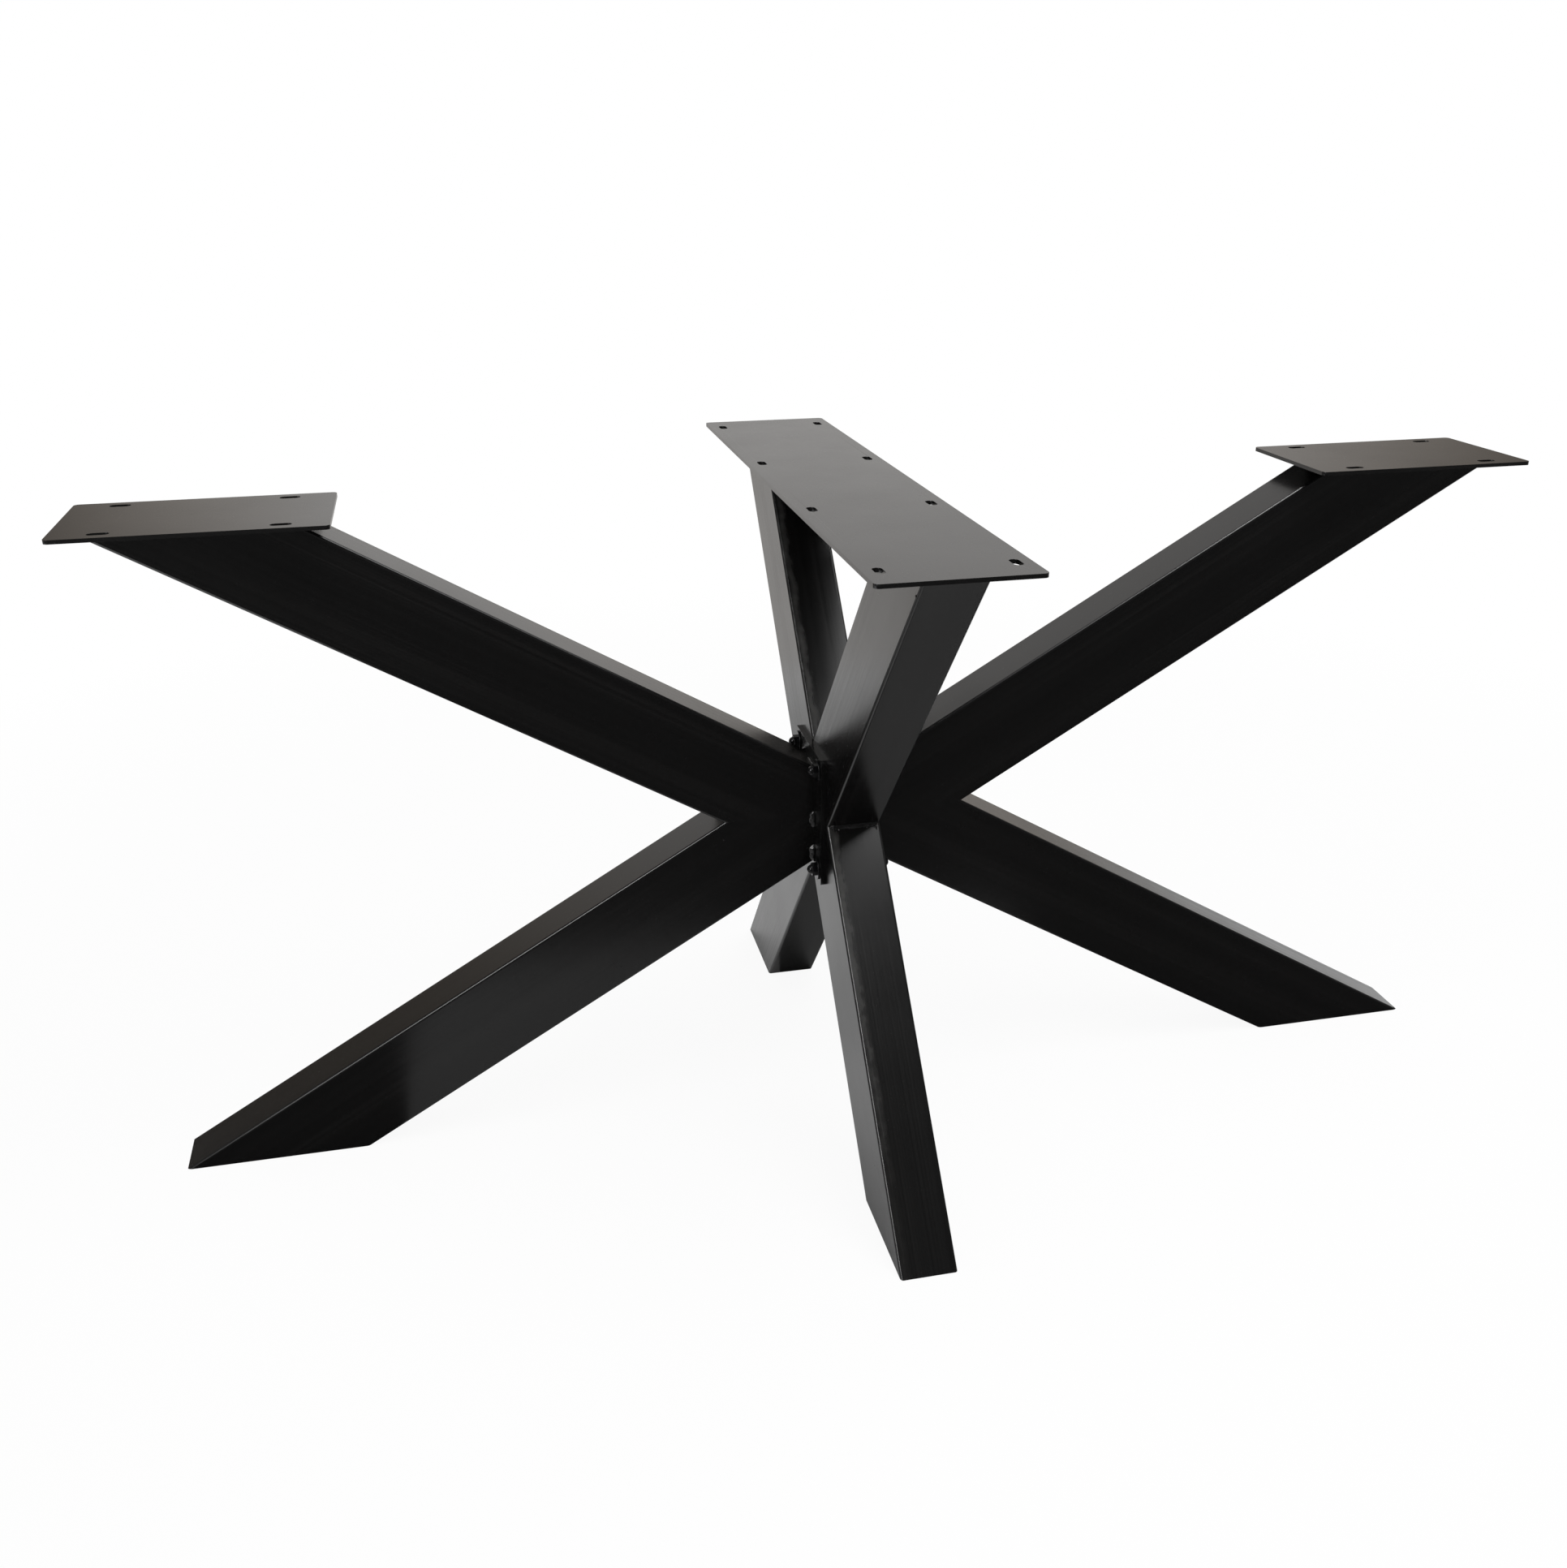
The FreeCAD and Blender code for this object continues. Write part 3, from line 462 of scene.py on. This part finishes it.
for end in (-1, 1):
    notch = Vector((beads_low.x, end * notch_distance, half_height))
    up_leg = Vector((0, end * math.cos(centre_slope), math.sin(centre_slope)))
    down_leg = Vector((0, end * math.cos(centre_slope), -math.sin(centre_slope)))
    lay_bead(verts, faces, notch, across, bead_length, up_leg, down_leg,
             NOTCH_LEG, NOTCH_LEG, NOTCH_SEED + end)
    chance = random.Random(SPATTER_SEED + end)
    down_face = Vector((0, end * math.sin(centre_slope), math.cos(centre_slope)))
    for drop in range(NOTCH_DROPS):
        along = across * (bead_length * (drop + chance.random()) / NOTCH_DROPS)
        below = down_leg * (NOTCH_LEG * chance.uniform(DROPS_NEAREST, DROPS_FARTHEST))
        radius = chance.uniform(SMALLEST_DROP, LARGEST_DROP)
        drop_metal(verts, faces, notch + along + below, down_face, radius, drop)
    for drop in range(DRIP_DROPS):
        share = drop / (DRIP_DROPS - 1)
        along = across * (bead_length * DRIP_PLACE + DRIP_SWAY * math.sin(share * math.pi / 2))
        below = down_leg * (NOTCH_LEG * (DRIP_STARTS + DRIP_RUNS * share))
        radius = DRIP_THICK - DRIP_THINNING * share
        drop_metal(verts, faces, notch + along + below, down_face, radius, drop)
    vee = Vector((beads_low.x, 0, half_height + end * vee_distance))
    front_leg = Vector((0, -math.cos(centre_slope), end * math.sin(centre_slope)))
    back_leg = Vector((0, math.cos(centre_slope), end * math.sin(centre_slope)))
    lay_bead(verts, faces, vee, across, bead_length, front_leg, back_leg,
             NOTCH_LEG, NOTCH_LEG, VEE_SEED + end)
    bead_end = vee + Vector((0, 0, end * NOTCH_LEG / 2)) - across * VEE_STEP_OUT
    drop_metal(verts, faces, bead_end, -across, VEE_DROP, seed=4)
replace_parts(finish_beads("joint_beads", verts, faces), "centre_joint_welds")


# The top plates.
# Flat steel plate cut by laser, with round corners and slots along both long edges for the screws that
# hold the table top. Each is welded level across the sawn ends of its legs and powder coated.

SAME_POINT = 0.000001
SHARP_FROM = 35
EASE_STEPS = 3


def ease_edges(node_name, width):
    """Rounds a piece's sharp edges a little, as deburring and paint do."""
    joined = nodes[node_name].modifiers.new("joined_faces", "WELD")
    joined.merge_threshold = SAME_POINT
    bevel = nodes[node_name].modifiers.new("eased_edges", "BEVEL")
    bevel.width = width
    bevel.segments = EASE_STEPS
    bevel.limit_method = "ANGLE"
    bevel.angle_limit = math.radians(SHARP_FROM)
    bevel.harden_normals = True


plate_coat = coat_on_metal("coat_on_plates", rough=0.24, peel_scale=800.0, peel_depth=0.00001)
PLATE_EDGE = 0.0005
for node_name in ("centre_top_plate", "left_top_plate", "right_top_plate"):
    paint(node_name, plate_coat)
    ease_edges(node_name, PLATE_EDGE)


# The welds under the top plates.
# One bead along each side of a leg's upper end, in the corner between the tube and the plate.

PLATE_LEG = 0.0040
TUBE_CORNER = 0.003
leg_mouth = (TUBE_DEPTH - 2 * TUBE_CORNER) / math.sin(centre_slope)
for node_name in ("centre_plate_welds", "left_plate_welds", "right_plate_welds"):
    low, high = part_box(node_name)
    if node_name.startswith("centre"):
        run, aside, reach_out = Vector((0, 1, 0)), Vector((1, 0, 0)), high.x
        starts, length = (low.y, high.y - leg_mouth), leg_mouth
    else:
        run, aside, reach_out = Vector((1, 0, 0)), Vector((0, 1, 0)), high.y
        starts, length = (low.x,), high.x - low.x
    verts, faces = [], []
    for side in (-1, 1):
        for start in starts:
            corner = run * start + aside * (side * (reach_out - PLATE_LEG)) + Vector((0, 0, high.z))
            lay_bead(verts, faces, corner, run, length, aside * side, Vector((0, 0, -1)),
                     PLATE_LEG, PLATE_LEG, len(verts))
    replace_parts(finish_beads(node_name.replace("welds", "beads"), verts, faces), node_name)


# The legs of the two side frames.
# Two tubes a side, mitred to each other at half height and ground flush, so that they make a V on its
# side. Their inner ends are cut square to the flange plate that they are welded to.

CROTCH_DISTANCE = 0.1366
ALONG_X = 0
side_low, side_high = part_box("right_upper_tube")
side_slope = math.atan2(side_high.z - side_low.z, side_high.x - CROTCH_DISTANCE)
for side_name, side in (("left", -1), ("right", 1)):
    for level_name, level in (("upper", 1), ("lower", -1)):
        turn = (0, -side * level * side_slope, 0)
        leg_name = "%s_%s_tube" % (side_name, level_name)
        paint(leg_name, coat_with_lines("coat_on_" + leg_name, ALONG_X, turn))


# The flange plates and their welds.
# Drilled steel plates across the inner ends of the side frames. Each is stitch welded to the tubes on
# their front and back faces, and drawn up against the centre frame by the tie rods.

FLANGE_EDGE = 0.0010
tube_half_width = side_high.y
STITCH_LENGTH = 0.020
STITCH_PLATE_LEG = 0.0036
STITCH_TUBE_LEG = 0.0060
TOP_STITCH_START = -0.028
TOP_STITCH_LENGTH = 0.026
TOP_STITCH_LEG = 0.0022
TOP_STITCH_SEED = 40
for side_name, side in (("left", -1), ("right", 1)):
    paint(side_name + "_flange_plate", plate_coat)
    ease_edges(side_name + "_flange_plate", FLANGE_EDGE)
    low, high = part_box(side_name + "_flange_welds")
    plate_face = low.x if side > 0 else high.x
    outward = Vector((side, 0, 0))
    verts, faces = [], []
    for front in (-1, 1):
        for bottom in (low.z, high.z - STITCH_LENGTH):
            corner = Vector((plate_face, front * tube_half_width, bottom))
            lay_bead(verts, faces, corner, Vector((0, 0, 1)), STITCH_LENGTH, outward,
                     Vector((0, front, 0)), STITCH_TUBE_LEG, STITCH_PLATE_LEG, len(verts) + side)
    inside_crotch = CROTCH_DISTANCE - abs(plate_face)
    top_rise = TUBE_DEPTH / math.cos(side_slope) - inside_crotch * math.tan(side_slope)
    corner = Vector((plate_face, TOP_STITCH_START, half_height + top_rise))
    up_tube = Vector((side * math.cos(side_slope), 0, math.sin(side_slope)))
    lay_bead(verts, faces, corner, Vector((0, 1, 0)), TOP_STITCH_LENGTH, up_tube, Vector((0, 0, 1)),
             TOP_STITCH_LEG, TOP_STITCH_LEG, TOP_STITCH_SEED + side)
    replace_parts(finish_beads(side_name + "_stitch_beads", verts, faces), side_name + "_flange_welds")


# The tie rods, washers and cap nuts.
# Plain threaded rods pass through both walls of the centre tubes. Large flat washers and cap nuts, black
# plated and glossier than the paint, close them on each side.

PLATING_PEEL = 2500.0
PLATING_RELIEF = 0.00001
PLATING_MIRROR = 0.2
PLATING_UNEVEN = 0.03


def plated_metal(name, thin, thick, rough, metallic):
    """Thin plating with small changes of tint and gloss."""
    material = bpy.data.materials.new(name)
    material.use_nodes = True
    tree = material.node_tree
    shader = tree.nodes["Principled BSDF"]
    skin = place_group(tree, powder_skin)
    skin.inputs["Peel Scale"].default_value = PLATING_PEEL
    join(tree, tree.nodes.new("ShaderNodeTexCoord").outputs["Object"], skin.inputs["Vector"])
    join(tree, mix_colours(tree, skin.outputs["Cloud"], thin, thick), shader.inputs["Base Color"])
    gloss = spread(tree, skin.outputs["Peel"], NOISE_LOW, NOISE_HIGH,
                   rough - PLATING_UNEVEN, rough + PLATING_UNEVEN)
    join(tree, gloss, shader.inputs["Roughness"])
    raise_bumps(tree, skin.outputs["Peel"], PLATING_RELIEF, shader)
    shader.inputs["Metallic"].default_value = metallic
    shader.inputs["Specular IOR Level"].default_value = PLATING_MIRROR
    return material


THIN_BLACK = (0.006, 0.006, 0.0065, 1.0)
THICK_BLACK = (0.003, 0.003, 0.0035, 1.0)
THIN_ZINC = (0.42, 0.43, 0.45, 1.0)
THICK_ZINC = (0.52, 0.52, 0.53, 1.0)
black_plating = plated_metal("black_plating", THIN_BLACK, THICK_BLACK, rough=0.14, metallic=0.0)
zinc_plating = plated_metal("zinc_plating", THIN_ZINC, THICK_ZINC, rough=0.32, metallic=1.0)
FASTENER_EDGE = 0.0004
for side_name in ("left", "right"):
    for kind in ("washers", "cap_nuts"):
        paint(side_name + "_" + kind, black_plating)
        ease_edges(side_name + "_" + kind, FASTENER_EDGE)
paint("tie_rods", zinc_plating)


# The foot plates.
# Flat plates let into the sawn ends of the four legs, welded and ground level with the floor.

foot_coat = coat_on_metal("coat_on_feet", rough=0.36, peel_scale=900.0, peel_depth=0.00003)
for foot_name in ("front", "back", "left", "right"):
    paint(foot_name + "_foot_plate", foot_coat)


# Specks under the paint.
# Three small drops of spatter that were left on the tubes: high on the front leg's left face, on the
# left frame below its inner corner, and low on the front leg.

BIG_SPECK = 0.0011
SMALL_SPECK = 0.0009
HIGH_SPECK_BELOW_TOP = 0.021
HIGH_SPECK_FROM_FRONT = 0.031
INNER_SPECK_PAST_CROTCH = 0.001
INNER_SPECK_BELOW_MIDDLE = 0.0206
LOW_SPECK_DOWN_LEG = 0.426
LOW_SPECK_ASIDE = 0.0155
leg_up = Vector((0, -math.sin(centre_slope), math.cos(centre_slope)))
leg_down = Vector((0, -math.cos(centre_slope), -math.sin(centre_slope)))
front_end, top = cad_box[0].y, cad_box[1].z
high_speck = Vector((-tube_high.x, front_end + HIGH_SPECK_FROM_FRONT, top - HIGH_SPECK_BELOW_TOP))
inner_speck = Vector((-CROTCH_DISTANCE - INNER_SPECK_PAST_CROTCH, -side_high.y,
                      half_height - INNER_SPECK_BELOW_MIDDLE))
low_speck = Vector((0, 0, half_height)) + leg_up * (TUBE_DEPTH / 2)
low_speck += leg_down * LOW_SPECK_DOWN_LEG + across * LOW_SPECK_ASIDE
verts, faces = [], []
drop_metal(verts, faces, high_speck, Vector((-1, 0, 0)), BIG_SPECK, seed=5)
drop_metal(verts, faces, inner_speck, Vector((0, -1, 0)), SMALL_SPECK, seed=6)
drop_metal(verts, faces, low_speck, leg_up, SMALL_SPECK, seed=7)
finish_beads("paint_specks", verts, faces)


# The studio: a pale floor, soft white light from above, and the camera.
# The camera sees plain white floor and air, but for the base's own shadow. Reflections see them white
# behind the base and to its left, and dim towards the front, as in a studio that is lit from the back.

def seen_by(tree):
    """Gives what the camera sees and what a reflection sees, each as 1 or 0."""
    path = tree.nodes.new("ShaderNodeLightPath")
    mirrored = combine(tree, "MAXIMUM", path.outputs["Is Glossy Ray"],
                       path.outputs["Is Transmission Ray"])
    return path.outputs["Is Camera Ray"], mirrored


FLOOR_SIZE = 60.0
FLOOR_DEPTH = -0.0005
FLOOR_TONE = 0.80
FLOOR_ROUGH = 0.9
SHADOW_REACH = 1.1
WHITE_FROM = 2.2
WHITE_NEAR_BASE = 0.93
BACK_WHITE = 0.62
BACK_DIM_TO = 0.5
BACK_WHITE_FROM = 1.1
LEFT_WHITE = 0.6
LEFT_WHITE_FROM = -0.12
LEFT_FADES_FROM = -0.18
LEFT_FADED_AT = -0.30
LEFT_REMAINS = 0.1
LEFT_FRONT_EDGE = -0.33
LEFT_FULL_BEHIND = -0.13
SHADE_STARTS = 0.80
SHADE_FULL_FROM = 1.00
SHADE_FULL_TO = 1.20
SHADE_ENDS = 1.40
SHADE_WHITE = 0.62
floor_mesh = bpy.data.meshes.new("studio_floor")
floor_half = FLOOR_SIZE / 2
floor_mesh.from_pydata([(-floor_half, -floor_half, 0), (floor_half, -floor_half, 0),
                        (floor_half, floor_half, 0), (-floor_half, floor_half, 0)], [], [(0, 1, 2, 3)])
floor = bpy.data.objects.new("studio_floor", floor_mesh)
bpy.context.scene.collection.objects.link(floor)
floor.location.z = FLOOR_DEPTH
floor_paint = bpy.data.materials.new("floor_paint")
floor_paint.use_nodes = True
floor_mesh.materials.append(floor_paint)
tree = floor_paint.node_tree
shader = tree.nodes["Principled BSDF"]
shader.inputs["Base Color"].default_value = (FLOOR_TONE, FLOOR_TONE, FLOOR_TONE, 1.0)
shader.inputs["Roughness"].default_value = FLOOR_ROUGH
shader.inputs["Specular IOR Level"].default_value = 0.0
floor_place = tree.nodes.new("ShaderNodeTexCoord").outputs["Object"]
from_middle = tree.nodes.new("ShaderNodeVectorMath")
from_middle.operation = "LENGTH"
join(tree, floor_place, from_middle.inputs[0])
parts = split(tree, floor_place)
camera_sees, mirror_sees = seen_by(tree)
distance = from_middle.outputs["Value"]
camera_white = spread(tree, distance, SHADOW_REACH, WHITE_FROM, WHITE_NEAR_BASE, 1.0)
behind_base = spread(tree, parts["Y"], BACK_DIM_TO, BACK_WHITE_FROM, 0.0, BACK_WHITE)
left_of_base = combine(tree, "MULTIPLY", spread(tree, parts["X"], 0.0, LEFT_WHITE_FROM, 0.0, LEFT_WHITE),
                       spread(tree, parts["Y"], LEFT_FRONT_EDGE, LEFT_FULL_BEHIND))
far_left = spread(tree, parts["X"], LEFT_FADED_AT, LEFT_FADES_FROM, LEFT_REMAINS, 1.0)
left_of_base = combine(tree, "MULTIPLY", left_of_base, far_left)
mirror_white = combine(tree, "MAXIMUM", behind_base, left_of_base)
base_shade = combine(tree, "MAXIMUM",
                     spread(tree, parts["Y"], SHADE_STARTS, SHADE_FULL_FROM, 1.0, SHADE_WHITE),
                     spread(tree, parts["Y"], SHADE_FULL_TO, SHADE_ENDS, SHADE_WHITE, 1.0))
white_share = combine(tree, "MAXIMUM", combine(tree, "MULTIPLY", camera_sees, camera_white),
                      combine(tree, "MULTIPLY", mirror_sees, mirror_white))
plain_white = tree.nodes.new("ShaderNodeEmission")
plain_white.inputs["Color"].default_value = (1, 1, 1, 1)
join(tree, combine(tree, "MAXIMUM", base_shade, camera_sees), plain_white.inputs["Strength"])
floor_mix = tree.nodes.new("ShaderNodeMixShader")
join(tree, white_share, floor_mix.inputs["Fac"])
join(tree, shader.outputs["BSDF"], floor_mix.inputs[1])
join(tree, plain_white.outputs["Emission"], floor_mix.inputs[2])
join(tree, floor_mix.outputs["Shader"], tree.nodes["Material Output"].inputs["Surface"])

AIR_LIGHT = 0.50
FRONT_AIR = 0.12
BACK_AIR = 0.8
AIR_DIM_TO = -0.2
AIR_BRIGHT_FROM = 0.6
world = bpy.data.worlds.new("studio_air")
bpy.context.scene.world = world
world.use_nodes = True
tree = world.node_tree
air = tree.nodes["Background"]
air.inputs["Color"].default_value = (1, 1, 1, 1)
heading = split(tree, tree.nodes.new("ShaderNodeTexCoord").outputs["Generated"])
camera_sees, mirror_sees = seen_by(tree)
brightness = tree.nodes.new("ShaderNodeMix")
brightness.data_type = "FLOAT"
brightness.inputs["A"].default_value = AIR_LIGHT
join(tree, mirror_sees, brightness.inputs["Factor"])
mirror_air = spread(tree, heading["Y"], AIR_DIM_TO, AIR_BRIGHT_FROM, FRONT_AIR, BACK_AIR)
join(tree, mirror_air, brightness.inputs["B"])
join(tree, combine(tree, "MAXIMUM", brightness.outputs["Result"], camera_sees), air.inputs["Strength"])


def hang_softbox(name, place, aim, width, height, brightness):
    """A soft white lamp that faces a point; brightness is that of its own face, where 1 is white."""
    lamp = bpy.data.lights.new(name, "AREA")
    lamp.shape = "RECTANGLE"
    lamp.size = width
    lamp.size_y = height
    lamp.energy = brightness * math.pi * width * height
    box = bpy.data.objects.new(name, lamp)
    bpy.context.scene.collection.objects.link(box)
    box.location = place
    box.rotation_euler = (Vector(aim) - Vector(place)).to_track_quat("-Z", "Y").to_euler()
    box.visible_camera = False


SOFTBOX_PLACE = (0.5, -0.75, 3.0)
SOFTBOX_WIDTH = 2.6
SOFTBOX_DEPTH = 1.9
SOFTBOX_BRIGHTNESS = 4.8
hang_softbox("softbox", SOFTBOX_PLACE, (0.0, 0.0, half_height), SOFTBOX_WIDTH, SOFTBOX_DEPTH,
             SOFTBOX_BRIGHTNESS)

# Cards that only reflections see, as photographers use. A white one stands behind the base and fades
# out to its warm, dim ends. A black one lies in front, with a bay round the front leg: painted shade that
# keeps the front faces deep black. A grey one under the joint is the base's painted shadow in
# reflections.

def stand_card(name, corners):
    """Makes a flat card for reflections only, and gives its node tree; it casts no shadow."""
    mesh = bpy.data.meshes.new(name)
    mesh.from_pydata(corners, [], [tuple(range(len(corners)))])
    material = bpy.data.materials.new(name)
    material.use_nodes = True
    mesh.materials.append(material)
    card = bpy.data.objects.new(name, mesh)
    bpy.context.scene.collection.objects.link(card)
    card.visible_camera = False
    card.visible_diffuse = False
    card.visible_shadow = False
    card.visible_transmission = False
    return material.node_tree


WHITE_PLACE = 1.5
WHITE_LEFT = -3.0
WHITE_RIGHT = 3.4
WHITE_TOP = 2.6
WARM_WHITE = (1.0, 0.84, 0.68, 1.0)
FULL_WHITE = 0.86
LEFT_STEP = 0.68
LEFT_STEP_FOOT = -1.15
LEFT_STEP_TOP = -0.60
LEFT_END_WHITE = 0.07
LEFT_END_FOOT = -1.9
LEFT_END_TOP = -1.1
RIGHT_END_WHITE = 0.20
RIGHT_END_FOOT = 2.1
RIGHT_END_TOP = 1.0
LOW_RIGHT_WHITE = 0.6
LOW_RIGHT_FOOT = 0.2
LOW_RIGHT_TOP = 0.8
LOW_RIGHT_REACH = 0.3
white_corners = [(WHITE_LEFT, WHITE_PLACE, 0.0), (WHITE_RIGHT, WHITE_PLACE, 0.0),
                 (WHITE_RIGHT, WHITE_PLACE, WHITE_TOP), (WHITE_LEFT, WHITE_PLACE, WHITE_TOP)]
tree = stand_card("white_card", white_corners)
parts = split(tree, tree.nodes.new("ShaderNodeTexCoord").outputs["Object"])
left_end = combine(tree, "ADD",
                   spread(tree, parts["X"], LEFT_STEP_FOOT, LEFT_STEP_TOP, 0.0, LEFT_STEP),
                   spread(tree, parts["X"], LEFT_END_FOOT, LEFT_END_TOP, LEFT_END_WHITE, 1.0 - LEFT_STEP))
right_end = spread(tree, parts["X"], RIGHT_END_FOOT, RIGHT_END_TOP, RIGHT_END_WHITE, FULL_WHITE)
card_white = combine(tree, "MULTIPLY", left_end, right_end)
low_right = combine(tree, "MAXIMUM",
                    spread(tree, parts["Z"], LOW_RIGHT_FOOT, LOW_RIGHT_TOP, LOW_RIGHT_WHITE, 1.0),
                    spread(tree, parts["X"], LOW_RIGHT_REACH, -LOW_RIGHT_REACH))
card_white = combine(tree, "MULTIPLY", card_white, low_right)
glow = tree.nodes.new("ShaderNodeEmission")
join(tree, mix_colours(tree, card_white, WARM_WHITE, (1, 1, 1, 1)), glow.inputs["Color"])
join(tree, card_white, glow.inputs["Strength"])
join(tree, glow.outputs["Emission"], tree.nodes["Material Output"].inputs["Surface"])

BLACK_REACH = 4.0
BLACK_BACK = -0.02
BAY_FRONT = -0.43
BAY_LEFT = -0.51
BAY_RIGHT = 0.34
BLACK_HEIGHT = -0.0002
FRONT_SHADE_TONE = 0.05
front_shade_outline = [(-BLACK_REACH, -BLACK_REACH), (BLACK_REACH, -BLACK_REACH), (BLACK_REACH, BLACK_BACK),
                 (BAY_RIGHT, BLACK_BACK), (BAY_RIGHT, BAY_FRONT), (BAY_LEFT, BAY_FRONT),
                 (BAY_LEFT, BLACK_BACK), (-BLACK_REACH, BLACK_BACK)]
GREY_LEFT = -0.015
GREY_RIGHT = 0.40
GREY_FRONT = -0.33
GREY_BACK = 0.45
GREY_HEIGHT = -0.0003
UNDER_SHADE_TONE = 0.30
under_shade_outline = [(GREY_LEFT, GREY_FRONT), (GREY_RIGHT, GREY_FRONT),
                (GREY_RIGHT, GREY_BACK), (GREY_LEFT, GREY_BACK)]
# The black and the grey card are painted shade. Only reflections see them, and they darken the floor in
# front of and under the base.
for name, outline, height, tone in (("front_shade_card", front_shade_outline, BLACK_HEIGHT, FRONT_SHADE_TONE),
                                    ("under_shade_card", under_shade_outline, GREY_HEIGHT, UNDER_SHADE_TONE)):
    tree = stand_card(name, [(x, y, height) for x, y in outline])
    shader = tree.nodes["Principled BSDF"]
    shader.inputs["Base Color"].default_value = (tone, tone, tone, 1.0)
    shader.inputs["Roughness"].default_value = 1.0

# Three bright cards put the fine highlights on round edges, beads and nut domes: a small one overhead, a
# tall one at the left, and one on the floor at the left.
SPARK_PLACE = (0.15, -0.35, 3.0)
SPARK_HALF = 0.28
SPARK_STRENGTH = 30.0
spark_corners = [(SPARK_PLACE[0] + x * SPARK_HALF, SPARK_PLACE[1] + y * SPARK_HALF, SPARK_PLACE[2])
                 for x, y in ((-1, -1), (-1, 1), (1, 1), (1, -1))]
EDGE_PLACE = -2.5
EDGE_FRONT = -2.8
EDGE_BACK = -1.4
EDGE_FOOT = 0.9
EDGE_TOP = 4.1
EDGE_BRIGHT_FROM = 3.2
EDGE_DIM_BELOW = 1.0
EDGE_DIM_STRENGTH = 5.0
EDGE_STRENGTH = 20.0
edge_corners = [(EDGE_PLACE, EDGE_FRONT, EDGE_FOOT), (EDGE_PLACE, EDGE_FRONT, EDGE_TOP),
                (EDGE_PLACE, EDGE_BACK, EDGE_TOP), (EDGE_PLACE, EDGE_BACK, EDGE_FOOT)]
SIDE_LEFT = -2.6
SIDE_RIGHT = -0.80
SIDE_FRONT = -1.2
SIDE_HEIGHT = -0.0001
SIDE_STRENGTH = 2.0
side_corners = [(SIDE_LEFT, SIDE_FRONT, SIDE_HEIGHT), (SIDE_RIGHT, SIDE_FRONT, SIDE_HEIGHT),
                (SIDE_RIGHT, BLACK_BACK, SIDE_HEIGHT), (SIDE_LEFT, BLACK_BACK, SIDE_HEIGHT)]
for name, corners, strength in (("spark_card", spark_corners, SPARK_STRENGTH),
                                ("side_card", side_corners, SIDE_STRENGTH),
                                ("edge_card", edge_corners, EDGE_STRENGTH)):
    tree = stand_card(name, corners)
    spark = tree.nodes.new("ShaderNodeEmission")
    spark.inputs["Strength"].default_value = strength
    join(tree, spark.outputs["Emission"], tree.nodes["Material Output"].inputs["Surface"])
# The card made last, the tall one, is dimmer towards its foot.
card_height = split(tree, tree.nodes.new("ShaderNodeTexCoord").outputs["Object"])["Z"]
edge_glow = spread(tree, card_height, EDGE_DIM_BELOW, EDGE_BRIGHT_FROM, EDGE_DIM_STRENGTH, EDGE_STRENGTH)
join(tree, edge_glow, spark.inputs["Strength"])

# The camera's place and angles were worked out from where the corners of the tubes and plates lie in the
# photograph.
PHOTO_HEIGHT = 1932
FOCAL_PIXELS = 1874.0
SENSOR_WIDTH = 36.0
CAMERA_PLACE = (-0.4032, -1.5263, 1.0471)
CAMERA_TURN_RIGHT = 12.552
CAMERA_TILT_DOWN = 22.94
CAMERA_ROLL = -0.262
camera_data = bpy.data.cameras.new("camera")
camera_data.sensor_width = SENSOR_WIDTH
camera_data.lens = camera_data.sensor_width * FOCAL_PIXELS / PHOTO_HEIGHT
camera = bpy.data.objects.new("camera", camera_data)
bpy.context.scene.collection.objects.link(camera)
camera.matrix_world = (Matrix.Translation(CAMERA_PLACE)
                       @ Matrix.Rotation(math.radians(-CAMERA_TURN_RIGHT), 4, "Z")
                       @ Matrix.Rotation(math.radians(90 - CAMERA_TILT_DOWN), 4, "X")
                       @ Matrix.Rotation(math.radians(CAMERA_ROLL), 4, "Z"))
bpy.context.scene.camera = camera
bpy.context.scene.view_settings.view_transform = "Standard"
